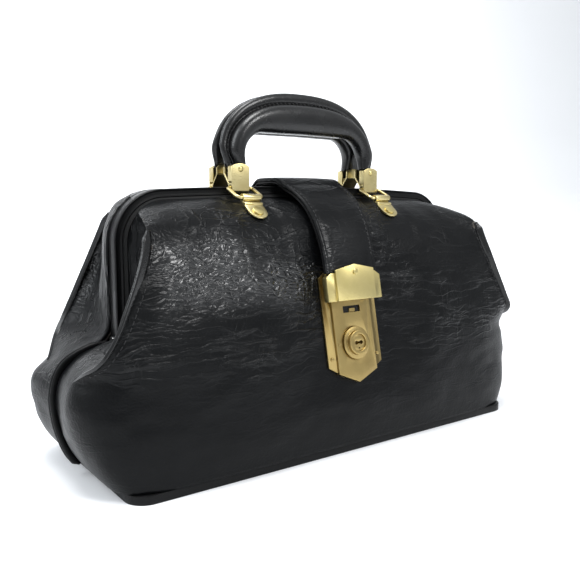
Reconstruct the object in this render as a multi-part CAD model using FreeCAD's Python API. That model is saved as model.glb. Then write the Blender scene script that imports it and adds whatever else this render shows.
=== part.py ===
import FreeCAD, Part
import math
import os

# A small leather doctor bag: a stiff leather body under a hinged steel frame, two padded
# handles, and a strap with a brass hasp that closes onto a lock on the front.
# Millimetres, +Z up, front towards -Y, long side along X, origin on the floor under the middle.

os.makedirs("parts", exist_ok=True)

# ---- driving dimensions -------------------------------------------------------------------
BASE_LENGTH = 318.0          # base panel along X
BASE_DEPTH = 135.0           # base panel along Y
BASE_THICK = 5.2             # base leather over its turned edge
BASE_CORNER = 13.0
BOARD_THICK = 2.2
BOARD_LENGTH, BOARD_DEPTH = 296.0, 118.0
WALL_THICK = 2.6             # body leather with its stiffener
SOFT_THICK = 2.0             # leather of the shoulder and wings
LINING_THICK = 1.0
LINING_INSET = 4.5           # lining's outer face behind the leather's
LINING_LOW = 9.0
POCKET_HALF = 75.0
SEAM_GAP = 0.15              # half the gap between front and rear halves
PANEL_TOP = 127.0            # where the stiff wall ends and the supple shoulder starts
POUCH_TOP = 71.0             # top of the rounded lower body at the ends

HINGE_Z = 79.0               # height of the frame's pivots
ARM_X = 136.0                # inner face of the frame's arms
ARM_FOOT = 86.0              # where the frame's leather covering ends, above the pivot
CORNER_R = 27.0              # inside corner radius of the frame
CORNER_Z = 140.5             # height of that radius's centre
ARCH_RISE = 2.7              # how far the frame's top bows up in the middle
COVER_H = 6.2                # covering's height, square to the frame
FRAME_DEPTH = 9.0            # one frame half along Y
FRAME_GAP = 0.2              # half the gap between the frame halves

RING_X = 57.0                # centre of each ring, ferrule and chape
WIRE_R = 1.3                 # ring wire radius
BORE_R = 1.38                # loops that the ring wire turns in
CHAPE_LOOP = (27.0, 168.0)   # distance in front of centre, and height, of the chape's loop
RING_TOP = (13.0, 174.5)     # the same for the ring's upper bar
RING_HALF = 9.3              # half the ring's length along X, to the wire's middle
RING_CORNER = 3.0

GRIP_HALF = 67.5             # handle's outer half length
GRIP_FOOT = 190.6            # bottom of the leather grip, above the ferrules
GRIP_TOP = 240.5
GRIP_POWER = 2.4             # how square the handle's outline is: 2 is an ellipse
GRIP_NARROWING = 3.7         # legs are drawn in by this much at their feet
GRIP_IN_HALF = 50.6          # half length of the finger opening
GRIP_IN_TOP = 211.5
GRIP_IN_R = 16.0
GRIP_Y0, GRIP_Y1 = 1.2, 14.0 # grip's flat inner side and fat outer side
CORE_INSET = 4.0             # leather and padding round the handle's core

STRAP_TOP_HALF = 26.5        # half width over the frame
STRAP_END_HALF = 21.8        # half width under the hasp
STRAP_THICK = 2.5
STRAP_LINING_THICK = 1.9

LOCK_FOOT = (-70.7, 47.4)    # lowest point of the lock's face: Y, Z
LOCK_LEAN = 11.6             # degrees that the lock leans back
SHEET = 1.4                  # brass sheet of lock and hasp
FLANGE_STEP = 2.0            # flanges lie this far behind the raised middle
FLANGE_HALF = 22.9
PLATEAU_HALF = 16.4
CYLINDER_S = 26.0            # up the lock's face from its tip
SLIDE_TRAVEL = 5.0
WINDOW_S = 48.6
HASP_S0, HASP_S1 = 54.2, 77.8
STAPLE_S = 60.4

# ---- tables of the leather body: height, distance from the middle ---------------------------
WALL = [(3, 68.5), (25, 71), (50, 69.5), (80, 65.5), (107, 60), (127, 55), (138, 51),
        (149, 45), (158.5, 36.5), (165.5, 25), (168.6, 12.5), (169, 9.6)]
END = [(0, 160.6), (7.4, 165), (16.3, 170.8), (27.8, 175.1), (36.2, 177.1), (48.7, 178.4),
       (58.8, 176.8), (68.4, 171.6), (76.2, 156), (78.3, 144.8)]
# the pinched crease at each front corner: height, along X, in front of the middle
CREASE = [(150, 138.8, 49), (139.3, 141, 52), (123.3, 147, 55.5), (106.8, 154.6, 57.5),
          (92.6, 161.6, 59), (86, 166, 59), (81.5, 169, 57.5), (77, 172, 53), (73, 175.5, 46),
          (66, 177.5, 32)]


def V(x, y, z):
    return FreeCAD.Vector(x, y, z)


def between(table, key):
    """Straight-line value at key in a table of (key, value) rows that rises or falls."""
    rows = sorted(table)
    if key <= rows[0][0]:
        return rows[0][1]
    for (k0, v0), (k1, v1) in zip(rows, rows[1:]):
        if key <= k1:
            return v0 + (v1 - v0) * (key - k0) / (k1 - k0)
    return rows[-1][1]


def box(x0, x1, y0, y1, z0, z1):
    return Part.makeBox(x1 - x0, y1 - y0, z1 - z0, V(x0, y0, z0))


def prism(points, sweep):
    """A flat outline pushed along a vector."""
    return Part.Face(Part.makePolygon(points + [points[0]])).extrude(sweep)


def flip_x(shape):
    return shape.mirror(V(0, 0, 0), V(1, 0, 0))


def flip_y(shape):
    return shape.mirror(V(0, 0, 0), V(0, 1, 0))


def both_ends(shape):
    return Part.makeCompound([shape, flip_x(shape)])


def save(name, shape):
    shape.exportStep("parts/" + name + ".step")
    print(f"{name:24s} {shape.Volume / 1000:9.2f} cm3  valid {shape.isValid()}")


def skin(rows, thick):
    """A leather sheet: a smooth outer face through rows of points, and its inner face."""
    def at(i, j):
        return rows[min(max(i, 0), len(rows) - 1)][min(max(j, 0), len(rows[0]) - 1)]

    inner = []
    for i in range(len(rows)):
        line = []
        for j in range(len(rows[0])):
            normal = (at(i + 1, j) - at(i - 1, j)).cross(at(i, j + 1) - at(i, j - 1))
            line.append(at(i, j) + normal.normalize() * thick)
        inner.append(line)
    faces = []
    for grid in (rows, inner):
        surface = Part.BSplineSurface()
        surface.interpolate(grid)
        faces.append(surface.toShape())
    sides = []
    for pick in (lambda g: g[0], lambda g: g[-1],
                 lambda g: [r[0] for r in g], lambda g: [r[-1] for r in g]):
        pair = []
        for face, grid in zip(faces, (rows, inner)):
            ends = (pick(grid)[0], pick(grid)[-1])
            middle = pick(grid)[len(pick(grid)) // 2]
            pair.append(min(face.Edges, key=lambda e: sum(
                e.distToShape(Part.Vertex(p))[0] for p in (*ends, middle))))
        sides.append(Part.makeRuledSurface(pair[0], pair[1]))
    shell = Part.makeShell(faces + sides)
    shell.sewShape()
    solid = Part.makeSolid(shell)
    return solid if solid.Volume > 0 else solid.reversed()


# ---- the lock's own frame: x across, s up its face, n out of its face ------------------------
LEAN = math.radians(LOCK_LEAN)


def lock_point(x, s, n):
    y = LOCK_FOOT[0] + s * math.sin(LEAN) - n * math.cos(LEAN)
    return V(x, y, LOCK_FOOT[1] + s * math.cos(LEAN) + n * math.sin(LEAN))


OUT = lock_point(0, 0, 1) - lock_point(0, 0, 0)


def lock_plate(outline, n0, n1):
    """An outline given as (x, s) pairs, solid from depth n0 to depth n1."""
    return prism([lock_point(x, s, n0) for x, s in outline], OUT * (n1 - n0))


def lock_box(x0, x1, s0, s1, n0, n1):
    return lock_plate([(x0, s0), (x1, s0), (x1, s1), (x0, s1)], n0, n1)


def lock_round(x, s, r, n0, n1):
    return Part.makeCylinder(r, n1 - n0, lock_point(x, s, n0), OUT)


# ---- leather body -----------------------------------------------------------------------------
SEAT_DEPTH = SHEET + FLANGE_STEP + 0.15   # the lock's back, behind its raised face
SEAT_HALF = 26.0
SEAT_FADE = 55.0
END_SWELL = 6.0              # the ends swell this far beyond the seam in their middle


def wall_out(x, z, inset=0.0, lock_seat=True):
    """How far the wall stands from the middle: the front one is drawn flat behind the lock."""
    full = between(WALL, z)
    if not lock_seat:
        return full - inset
    seat = -(LOCK_FOOT[0] + (z - LOCK_FOOT[1]) * math.tan(LEAN) + SEAT_DEPTH / math.cos(LEAN))
    across = min(max((abs(x) - SEAT_HALF) / SEAT_FADE, 0), 1)
    height = min(max((z - 22) / 18, 0), 1) * min(max((150 - z) / 18, 0), 1)
    fade = (1 - across ** 2 * (3 - 2 * across)) * height
    return full - max(full - seat, 0) * fade - inset


def pouch_row(z, inset, lock_seat, count=33):
    """Half outline of the lower body at one height, from the left end seam to the right."""
    power = between([(5, 9), (20, 6.5), (45, 5), (71, 5)], z)
    swell = END_SWELL * between([(5, 0), (45, 1)], z)
    row = []
    for k in range(count):
        turn = math.pi * k / (count - 1)
        across, ahead = -math.cos(turn), math.sin(turn)
        reach = (abs(across) ** power + ahead ** power) ** (1 / power)
        length = between(END, z) - inset + swell * min(2 * ahead / reach, 1)
        x = length * across / reach
        y = wall_out(x, z, inset, lock_seat) * ahead / reach
        row.append(V(x, -max(y, SEAM_GAP + inset * 0.1), z))
    return row


def front_row(z, inset, lock_seat, count=17):
    """One level of the flat front wall, from crease to crease."""
    half = between([(c[0], c[1]) for c in CREASE], z) - inset - 0.4
    edge = between([(c[0], c[2]) for c in CREASE], z) - inset
    row = []
    for k in range(count):
        part = 2 * k / (count - 1) - 1
        wall = wall_out(half * part, z, inset, lock_seat)
        row.append(V(half * part, -wall + (wall - edge) * part ** 12, z))
    return row


def half_body(inset, thick, low, high, lock_seat=True, pouch_top=POUCH_TOP - 0.1):
    """One half of the body: the rounded lower part, and the flat wall above it."""
    pouch = skin([pouch_row(z, inset, lock_seat)
                  for z in (low, 16, 28, 40, 52, 62, pouch_top)], thick)
    upper = skin([front_row(z, inset, lock_seat)
                  for z in (POUCH_TOP, 82, 93, 104, 116, high)], thick)
    return [pouch, upper]


LOCK_WELL = lock_box(-20.2, 20.2, 16.8, 73.2, -13.0, -SEAT_DEPTH + 3.0)


def leather_body():
    body_low = BASE_THICK + 0.2
    front = half_body(0, WALL_THICK, body_low, PANEL_TOP)
    rear = half_body(0, WALL_THICK, body_low, PANEL_TOP, lock_seat=False)
    save("front_panel", Part.makeCompound([piece.cut(LOCK_WELL) for piece in front]))
    save("rear_panel", flip_y(Part.makeCompound(rear)))

    slab = box(-BASE_LENGTH / 2, BASE_LENGTH / 2, -BASE_DEPTH / 2, BASE_DEPTH / 2, 0, BASE_THICK)
    upright = [e for e in slab.Edges if abs(e.tangentAt(0).z) > 0.9]
    save("base_panel", slab.makeFillet(BASE_CORNER, upright))
    board = box(-BOARD_LENGTH / 2, BOARD_LENGTH / 2, -BOARD_DEPTH / 2, BOARD_DEPTH / 2,
                BASE_THICK + 0.1, BASE_THICK + 0.1 + BOARD_THICK)
    save("base_board", board)

    front = half_body(LINING_INSET, LINING_THICK, LINING_LOW, PANEL_TOP - 1)
    rear = half_body(LINING_INSET, LINING_THICK, LINING_LOW, PANEL_TOP - 1, lock_seat=False)
    halves = [piece.cut(LOCK_WELL) for piece in front] + [flip_y(piece) for piece in rear]
    save("lining", Part.makeCompound(halves))

    pocket_inset = LINING_INSET + LINING_THICK + 1.2
    rows = [[V(POCKET_HALF * (k / 4 - 1), pocket_inset - between(WALL, z), z) for k in range(9)]
            for z in (35, 50, 65, 80, 95)]
    save("inner_pocket", flip_y(skin(rows, LINING_THICK)))


WELT_PROUD = 4.2
WELT_HALF = 2.3
WELT_CLEAR = 0.8             # the strip's underside stands this far off the seam


def end_welts():
    """Raised strip sewn over the seam where front and rear leather meet at each end."""
    seam = [(-length, z) for z, length in sorted(END) if z > 5]
    outer = []
    for k, (x, z) in enumerate(seam):
        x0, z0 = seam[max(k - 1, 0)]
        x1, z1 = seam[min(k + 1, len(seam) - 1)]
        run = math.hypot(x1 - x0, z1 - z0)
        outer.append((x - (z1 - z0) / run * WELT_PROUD, z + (x1 - x0) / run * WELT_PROUD))
    inner = [(x - WELT_CLEAR, z + 0.2) for x, z in seam]
    outline = [V(x, -WELT_HALF, z) for x, z in inner + outer[::-1]]
    welt = prism(outline, V(0, 2 * WELT_HALF, 0))
    save("left_end_welt", welt)
    save("right_end_welt", flip_x(welt))


# ---- frame ------------------------------------------------------------------------------------
def frame_path(offset, foot, y):
    """Edges of the frame's arch, a given distance outside its inner line."""
    side = ARM_X + offset
    middle = ARM_X - CORNER_R
    radius = CORNER_R + offset
    top = CORNER_Z + radius

    def corner(sign):
        leg = V(sign * side, y, CORNER_Z)
        knee = V(sign * (middle + radius * math.sqrt(0.5)), y, CORNER_Z + radius * math.sqrt(0.5))
        return leg, knee, V(sign * middle, y, top)

    left, right = corner(-1), corner(1)
    return [Part.LineSegment(V(-side, y, foot), left[0]).toShape(),
            Part.Arc(*left).toShape(),
            Part.Arc(left[2], V(0, y, top + ARCH_RISE), right[2]).toShape(),
            Part.Arc(*right[::-1]).toShape(),
            Part.LineSegment(right[0], V(side, y, foot)).toShape()]


def arch(offset0, offset1, foot, y0, y1):
    """A solid U that follows the frame, between two offsets and two depths."""
    inner, outer = frame_path(offset0, foot, y0), frame_path(offset1, foot, y0)
    ends = [Part.LineSegment(V(s * (ARM_X + offset0), y0, foot),
                             V(s * (ARM_X + offset1), y0, foot)).toShape() for s in (-1, 1)]
    wire = Part.Wire(Part.__sortEdges__(inner + outer + ends))
    return Part.Face(wire).extrude(V(0, y1 - y0, 0))


BAR_IN, BAR_OUT = 1.3, 4.9        # steel bar inside its covering, square to the frame
BAR_Y0, BAR_Y1 = 2.4, 6.8
LUG_R = 5.0
LUG_THICK = 1.6
PIN_R = 2.0
PIN_FIT = 0.05


def frame_half(outer_lug):
    """The front half of the frame: steel bar with pivot lugs, and its leather covering."""
    bar = arch(BAR_IN, BAR_OUT, ARM_FOOT, -BAR_Y1, -BAR_Y0)
    lug_x = ARM_X + (BAR_OUT - LUG_THICK if outer_lug else BAR_IN)
    for sign in (-1, 1):
        x0 = min(sign * lug_x, sign * (lug_x + LUG_THICK))
        along = V(LUG_THICK, 0, 0)
        disc = Part.makeCylinder(LUG_R, LUG_THICK, V(x0, 0, HINGE_Z), V(1, 0, 0))
        neck = prism([V(x0, -BAR_Y1, ARM_FOOT + 2), V(x0, -BAR_Y0, ARM_FOOT + 2),
                      V(x0, 2.4, HINGE_Z + 4), V(x0, -4.6, HINGE_Z + 1)], along)
        bar = bar.fuse([disc, neck])
    for sign in (-1, 1):
        start = min(sign * (ARM_X - 2), sign * (ARM_X + 8))
        bar = bar.cut(Part.makeCylinder(PIN_R + PIN_FIT, 10, V(start, 0, HINGE_Z), V(1, 0, 0)))
    cover = arch(0, COVER_H, ARM_FOOT, -FRAME_DEPTH, -FRAME_GAP)
    cover = cover.cut(arch(BAR_IN, BAR_OUT, ARM_FOOT - 1, -BAR_Y1, -BAR_Y0))
    cover = cover.cut(box(-150, 150, -BAR_Y1, -BAR_Y0, ARM_FOOT - 1, ARM_FOOT + 2.1))
    return bar.removeSplitter(), cover


def hinge_pin():
    """Riveted pivot with a head on each side of the two lugs, at the left end."""
    x_out = -(ARM_X + BAR_OUT + 0.3)
    x_in = -(ARM_X + BAR_IN - 0.3)
    axis = V(1, 0, 0)
    shank = Part.makeCylinder(PIN_R, x_in - x_out, V(x_out, 0, HINGE_Z), axis)
    heads = [Part.makeCylinder(3.6, 1.2, V(x, 0, HINGE_Z), axis) for x in (x_out - 1.2, x_in)]
    return shank.fuse(heads).removeSplitter()


# ---- shoulder and wings -------------------------------------------------------------------------
def shoulder_edge(t):
    """The shoulder's end: up the crease, then over to the frame's arm."""
    x = between([(0, 145.2), (0.45, 138.6), (0.75, 137.6), (1, 138.0)], t)
    y = between([(0, 54.6), (0.45, 49.0), (0.75, 30.0), (1, 9.8)], t)
    z = between([(0, PANEL_TOP + 0.2), (0.45, 150.0), (0.75, 156.5), (1, 157.5)], t)
    return V(x, -y, z)


def shoulder_middle(x, t):
    """The shoulder's even curve away from its ends, below the frame's arch."""
    z = PANEL_TOP + 0.2 + (168.9 - PANEL_TOP - 0.2) * math.sin(math.pi / 2 * t)
    over = max(abs(x) - (ARM_X - CORNER_R), 0)
    drop = CORNER_R - math.sqrt(max(CORNER_R ** 2 - over ** 2, 0))
    return V(x, -between(WALL, z), z - drop * t ** 3)


FOLDS = (0.0, 5.0, 11.0, 13.0, 10.0, 6.0, 2.0, -1.0, -3.0, -3.0)   # how deep the wing folds in
WING_THICK = 1.2
WING_SEAM = [(139.6, 9.8, 152), (140.2, 9.8, 140), (140.8, 9.8, 124), (141.2, 9.8, 108),
             (141.6, 9.8, 96), (142.6, 9.4, 88), (146.5, 5.4, 81.5), (153, 2.9, 78.6),
             (163, 2.9, 75.2), (171, 2.9, 70.4)]


def shoulder(clear_of):
    """Supple leather from the top of the front wall to the frame, with a folded wing each end."""
    rows = []
    for level in range(9):
        t = level / 8
        row = []
        for k in range(21):
            part = k / 10 - 1
            end = shoulder_edge(t)
            end.x = math.copysign(end.x, part)
            middle = shoulder_middle(part * abs(end.x), t)
            ease = min(max((abs(part) - 0.7) / 0.3, 0), 1)
            ease = ease ** 2 * (3 - 2 * ease)
            row.append(middle + (end - middle) * ease)
        rows.append(row)
    top = skin(rows, SOFT_THICK)

    rows = []
    for (z, x, y), (x1, y1, z1), deep in zip(CREASE, WING_SEAM, FOLDS):
        start, end = V(-x + 0.4, -y + 0.6, z), V(-x1, -y1, z1)
        rows.append([start + (end - start) * (k / 6) + V(math.sin(math.pi * k / 6) * deep, 0, 0)
                     for k in range(7)])
    wing = skin(rows, -WING_THICK)
    leather = Part.makeCompound([top, wing, flip_x(wing)])
    for obstacle in clear_of:
        leather = leather.cut(obstacle)
    return leather


# ---- handles and their fittings -------------------------------------------------------------------
SLOPE = math.atan2(12.5, 16.0)     # the shoulder's fall under the chapes


def chape_point(x, along, out):
    y = -CHAPE_LOOP[0] - along * math.cos(SLOPE) - out * math.sin(SLOPE)
    return V(x, y, CHAPE_LOOP[1] - along * math.sin(SLOPE) + out * math.cos(SLOPE))


CHAPE_HALF = 6.7
CHAPE_LENGTH = 18.6
LOOP_R = 2.5
RIVET_AT = 12.2


def chape(x):
    """Brass plate riveted to the shoulder, with a rolled loop that holds the ring."""
    tip = CHAPE_LENGTH - CHAPE_HALF
    outline = [(-CHAPE_HALF, 0), (CHAPE_HALF, 0), (CHAPE_HALF, tip)]
    for k in range(1, 8):
        turn = math.pi * k / 8
        outline.append((CHAPE_HALF * math.cos(turn), tip + CHAPE_HALF * math.sin(turn)))
    outline.append((-CHAPE_HALF, tip))
    out = chape_point(0, 0, 1) - chape_point(0, 0, 0)
    plate = prism([chape_point(x + a, s, -LOOP_R) for a, s in outline], out * 1.2)
    loop = Part.makeCylinder(LOOP_R, 2 * CHAPE_HALF, chape_point(x - CHAPE_HALF, 0, 0), V(1, 0, 0))
    bead = Part.makeCylinder(1.1, 2 * CHAPE_HALF, chape_point(x - CHAPE_HALF, 4.6, -1.4), V(1, 0, 0))
    bore = Part.makeCylinder(BORE_R, 30, chape_point(x - 15, 0, 0), V(1, 0, 0))
    hole = Part.makeCylinder(1.5, 6, chape_point(x, RIVET_AT, -4), out)
    return plate.fuse([loop, bead]).cut(bore).cut(hole)


def chape_rivet(x):
    out = chape_point(0, 0, 1) - chape_point(0, 0, 0)
    head = Part.makeCylinder(3.7, 1.0, chape_point(x, RIVET_AT, -LOOP_R + 1.25), out)
    shank = Part.makeCylinder(1.5, 1.25, chape_point(x, RIVET_AT, -LOOP_R), out)
    return head.fuse(shank)


def ring(x):
    """Rectangular wire ring between the chape's loop and the handle's ferrule."""
    low = V(x, -CHAPE_LOOP[0], CHAPE_LOOP[1])
    high = V(x, -RING_TOP[0], RING_TOP[1])
    up = (high - low).normalize()
    length = (high - low).Length

    def spot(a, b):
        return low + V(a, 0, 0) + up * b

    corners = [(-RING_HALF, 0), (RING_HALF, 0), (RING_HALF, length), (-RING_HALF, length)]
    edges = []
    for k, (a, b) in enumerate(corners):
        for_next, for_last = corners[(k + 1) % 4], corners[k - 1]
        ahead = ((for_next[0] > a) - (for_next[0] < a), (for_next[1] > b) - (for_next[1] < b))
        back = ((for_last[0] > a) - (for_last[0] < a), (for_last[1] > b) - (for_last[1] < b))
        start = (a + back[0] * RING_CORNER, b + back[1] * RING_CORNER)
        end = (a + ahead[0] * RING_CORNER, b + ahead[1] * RING_CORNER)
        bow = RING_CORNER * (1 - math.sqrt(0.5))
        mid = (a + (back[0] + ahead[0]) * bow, b + (back[1] + ahead[1]) * bow)
        edges.append(Part.Arc(spot(*start), spot(*mid), spot(*end)).toShape())
        last = (for_next[0] - ahead[0] * RING_CORNER, for_next[1] - ahead[1] * RING_CORNER)
        edges.append(Part.LineSegment(spot(*end), spot(*last)).toShape())
    path = Part.Wire(Part.__sortEdges__(edges))
    start = path.Vertexes[0].Point
    tangent = path.Edges[0].tangentAt(path.Edges[0].FirstParameter)
    section = Part.Wire([Part.makeCircle(WIRE_R, start, tangent)])
    return path.makePipeShell([section], True, True)


def grip_outline(inset, y):
    """Closed outline of the handle: a rounded arch outside and a rounded finger opening."""
    foot = GRIP_FOOT + 0.2
    half, rise = GRIP_HALF - inset, GRIP_TOP - GRIP_FOOT - inset
    legs = GRIP_NARROWING - min(inset, GRIP_NARROWING)
    outer = []
    for k in range(17):
        turn = math.pi * (0.06 + 0.88 * k / 16)
        across = math.copysign(abs(math.cos(turn)) ** (2 / GRIP_POWER), math.cos(turn))
        outer.append(V(half * across, y, GRIP_FOOT + rise * math.sin(turn) ** (2 / GRIP_POWER)))
    curve = Part.BSplineCurve()
    curve.interpolate(outer)
    in_half, in_top, r = GRIP_IN_HALF + inset, GRIP_IN_TOP + inset, GRIP_IN_R
    bow = r * (1 - math.sqrt(0.5))
    right = [V(in_half, y, foot), V(in_half, y, in_top - r),
             V(in_half - bow, y, in_top - bow), V(in_half - r, y, in_top)]
    left = [V(-p.x, p.y, p.z) for p in right]
    leg_x = half - legs
    edges = [curve.toShape(),
             Part.LineSegment(outer[0], V(leg_x, y, foot)).toShape(),
             Part.LineSegment(V(leg_x, y, foot), right[0]).toShape(),
             Part.LineSegment(right[0], right[1]).toShape(),
             Part.Arc(*right[1:]).toShape(),
             Part.LineSegment(right[3], left[3]).toShape(),
             Part.Arc(*left[:0:-1]).toShape(),
             Part.LineSegment(left[1], left[0]).toShape(),
             Part.LineSegment(left[0], V(-leg_x, y, foot)).toShape(),
             Part.LineSegment(V(-leg_x, y, foot), outer[-1]).toShape()]
    return Part.Face(Part.Wire(Part.__sortEdges__(edges)))


FERRULE_HALF = 6.6
FERRULE_FRONT = 15.3         # front face, ahead of centre
FERRULE_SHEET = 1.0
FERRULE_FLANGE = 10.0        # back edge of the side flanges
FERRULE_TOP = 190.4
FERRULE_ARCH = 11.9          # radius of its bowed top edge
# the folded strip's outside and the room inside it: distance ahead of centre, height
FERRULE_OUTSIDE = [(15.3, 190.5), (15.3, 172.6), (14.3, 171.4), (11.9, 171.4), (10.5, 172.8),
                   (9.9, 177.0), (4.4, 183.6), (4.4, 190.5)]
FERRULE_ROOM = [(14.3, 191), (14.3, 177.6), (10.7, 177.6), (5.4, 184.0), (5.4, 191)]


def handle():
    """Grip with its core, for the front handle; the legs thin towards their feet."""
    depth = GRIP_Y1 - GRIP_Y0
    grip = grip_outline(0, -GRIP_Y1).extrude(V(0, depth, 0))
    core = grip_outline(CORE_INSET, -GRIP_Y1 + 4).extrude(V(0, depth - 6.5, 0))
    away = V(160, 0, 0)
    thin = prism([V(-80, -4.8, 190), V(-80, 0, 190), V(-80, 0, 216), V(-80, -GRIP_Y0, 216)], away)
    core_thin = prism([V(-80, -7.3, 190), V(-80, 0, 190), V(-80, 0, 216), V(-80, -3.7, 216)], away)
    core = core.cut(core_thin)
    grip = grip.cut(thin).cut(core)
    tongues = [box(x - 5.2, x + 5.2, -14.0, -5.8, 184.0, GRIP_FOOT + 0.2) for x in (-RING_X, RING_X)]
    return grip.fuse(tongues).removeSplitter(), core


def ferrule(x):
    """Brass strip folded round the ring: a flanged front plate, and a plate up the back."""
    def across(outline, half):
        return prism([V(x - half, -y, z) for y, z in outline], V(2 * half, 0, 0))

    strip = across(FERRULE_OUTSIDE, FERRULE_HALF).cut(across(FERRULE_ROOM, FERRULE_HALF + 1))
    flanges = [box(a, a + FERRULE_SHEET, -FERRULE_FRONT, -FERRULE_FLANGE, 178.8, FERRULE_TOP)
               for a in (x - FERRULE_HALF, x + FERRULE_HALF - FERRULE_SHEET)]
    bow = Part.makeCylinder(FERRULE_ARCH, 20, V(x, -20, FERRULE_TOP - FERRULE_ARCH), V(0, 1, 0))
    bore = Part.makeCylinder(BORE_R, 30, V(x - 15, -RING_TOP[0], RING_TOP[1]), V(1, 0, 0))
    return strip.fuse(flanges).common(bow).cut(bore).removeSplitter()


def ferrule_rivet(x):
    """Domed rivet head on the ferrule's front."""
    radius, sink = 2.5, 1.5
    ball = Part.makeSphere(radius, V(x, -FERRULE_FRONT + sink, 186.8))
    return ball.common(box(x - 5, x + 5, -FERRULE_FRONT - 5, -FERRULE_FRONT, 180, 195))


def fittings(side, place):
    """One side's frame, shoulder, chapes, rings and handle; place moves them from the front."""
    bar, cover = frame_half(side == "front")
    save(side + "_frame_bar", place(bar))
    save(side + "_frame_cover", place(cover))
    body_room = half_body(-0.4, LINING_INSET + LINING_THICK + 0.8, BASE_THICK, PANEL_TOP + 0.3,
                          pouch_top=POUCH_TOP + 0.3)
    chapes = [chape(x) for x in (-RING_X, RING_X)] + [both_ends(chape_rivet(-RING_X))]
    body_room += half_body(LINING_INSET - 0.4, LINING_THICK + 0.8, LINING_LOW, PANEL_TOP)
    far_room = [flip_y(piece) for piece in body_room]
    save(side + "_shoulder", place(shoulder(body_room + far_room + [cover] + chapes)))
    grip, core = handle()
    save(side + "_grip", place(grip))
    save(side + "_grip_core", place(core))
    for name, x in (("left", -RING_X), ("right", RING_X)):
        save(f"{side}_{name}_chape", place(chape(x)))
        save(f"{side}_{name}_ring", place(ring(x)))
        save(f"{side}_{name}_ferrule", place(ferrule(x)))
    save(side + "_chape_rivets", place(both_ends(chape_rivet(-RING_X))))
    save(side + "_ferrule_rivets", place(both_ends(ferrule_rivet(-RING_X))))


# ---- strap and hasp ---------------------------------------------------------------------------
STRAP_LINE = [(12, 178.2), (6, 178.3), (0, 178.3), (-6, 178.2), (-10.5, 177.6), (-14.5, 175.8),
              (-19, 173.2), (-25, 170.6), (-31, 167.2), (-36.8, 162.9), (-42, 157.5),
              (-46.3, 151.2), (-49.8, 144.5), (-52.7, 137.5), (-55.8, 127.8), (-57.9, 119)]
STRAP_REAR = [(12.6, 178.2), (16.5, 175.4), (21, 171.4), (27, 167.8), (33, 164.0),
              (39, 159.0), (44.5, 153.2)]


def strap_layer(line, low, high):
    """Leather following a line of (y, z) points, from one height above it to another."""
    rows = []
    for k, (y, z) in enumerate(line):
        y0, z0 = line[max(k - 1, 0)]
        y1, z1 = line[min(k + 1, len(line) - 1)]
        run = math.hypot(y1 - y0, z1 - z0)
        fall = min(max((-y - 14) / 42, 0), 1)
        half = STRAP_TOP_HALF + (STRAP_END_HALF - STRAP_TOP_HALF) * fall
        away = 1 if y1 < y0 else -1
        y_top = y + (z1 - z0) / run * high * away
        z_top = z - (y1 - y0) / run * high * away
        rows.append([V(half * (2 * i / 6 - 1) * away, y_top, z_top) for i in range(7)])
    return skin(rows, low - high)


HASP_OUT = 8.2                 # hasp's raised face, out from the lock's raised face
HASP_BACK = 1.5
STRAP_FOOT_S = 72.6            # the strap's end, up the lock's face


HASP_PEAK = 3.4                # the raised face's shoulders lie this far below its point
HASP_WING = 8.0                # the flanges' outer corners, below the point
STAPLE_HALF = 6.2
STAPLE_THICK = 1.6
STAPLE_REACH = 2.8             # how far the staple goes through the lock's face


def hasp_outline():
    """Stepped plate with a low point at the top, mirroring the lock's shape."""
    wide, mid, low, high = FLANGE_HALF, PLATEAU_HALF, HASP_S0, HASP_S1
    return [(-wide, low), (wide, low), (wide, high - HASP_WING), (mid + 3.0, high - 5.5),
            (mid, high - HASP_PEAK), (0, high), (-mid, high - HASP_PEAK), (-mid - 3.0, high - 5.5),
            (-wide, high - HASP_WING)]


def hasp():
    mid = PLATEAU_HALF
    raised = [(-mid, HASP_S0), (mid, HASP_S0), (mid, HASP_S1 - HASP_PEAK), (0, HASP_S1),
              (-mid, HASP_S1 - HASP_PEAK)]
    plate = lock_plate(hasp_outline(), HASP_BACK, HASP_OUT - FLANGE_STEP)
    plate = plate.fuse(lock_plate(raised, HASP_BACK, HASP_OUT))
    flange_room = lock_box(-FLANGE_HALF + 1.0, FLANGE_HALF - 1.0, HASP_S0 + 1.0, 68,
                           HASP_BACK - 1, HASP_OUT - FLANGE_STEP - SHEET)
    middle_room = lock_box(-PLATEAU_HALF + SHEET, PLATEAU_HALF - SHEET, HASP_S0 + 1.0, 90,
                           HASP_BACK - 1, HASP_OUT - SHEET)
    strap_room = lock_box(-FLANGE_HALF - 1, FLANGE_HALF + 1, STRAP_FOOT_S, 90,
                          HASP_BACK - 1, HASP_OUT - SHEET)
    plate = plate.cut(flange_room).cut(middle_room).cut(strap_room)
    staple = lock_box(-STAPLE_HALF, STAPLE_HALF, STAPLE_S, STAPLE_S + STAPLE_THICK,
                      -STAPLE_REACH, HASP_BACK + 0.4)
    eye = lock_box(-3.2, 3.2, STAPLE_S - 1, STAPLE_S + 3, -1.9, 0.2)
    foot = lock_box(-9, 9, STAPLE_S - 4.5, STAPLE_S + 4.8, HASP_BACK, HASP_BACK + 1.3)
    rivet = lock_round(0, HASP_S1 - 5.0, 1.9, HASP_OUT, HASP_OUT + 0.7)
    return plate, staple.cut(eye).fuse(foot).removeSplitter(), rivet


def strap():
    low, split, high = 0.0, STRAP_LINING_THICK, STRAP_LINING_THICK + 0.1 + STRAP_THICK
    save("strap", strap_layer(STRAP_LINE, split + 0.1, high))
    save("strap_lining", strap_layer(STRAP_LINE, low, split))
    save("strap_rear_end", strap_layer(STRAP_REAR, low, high))
    plate, staple, rivet = hasp()
    save("hasp_plate", plate)
    save("hasp_staple", staple)
    save("hasp_rivet", rivet)


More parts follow.
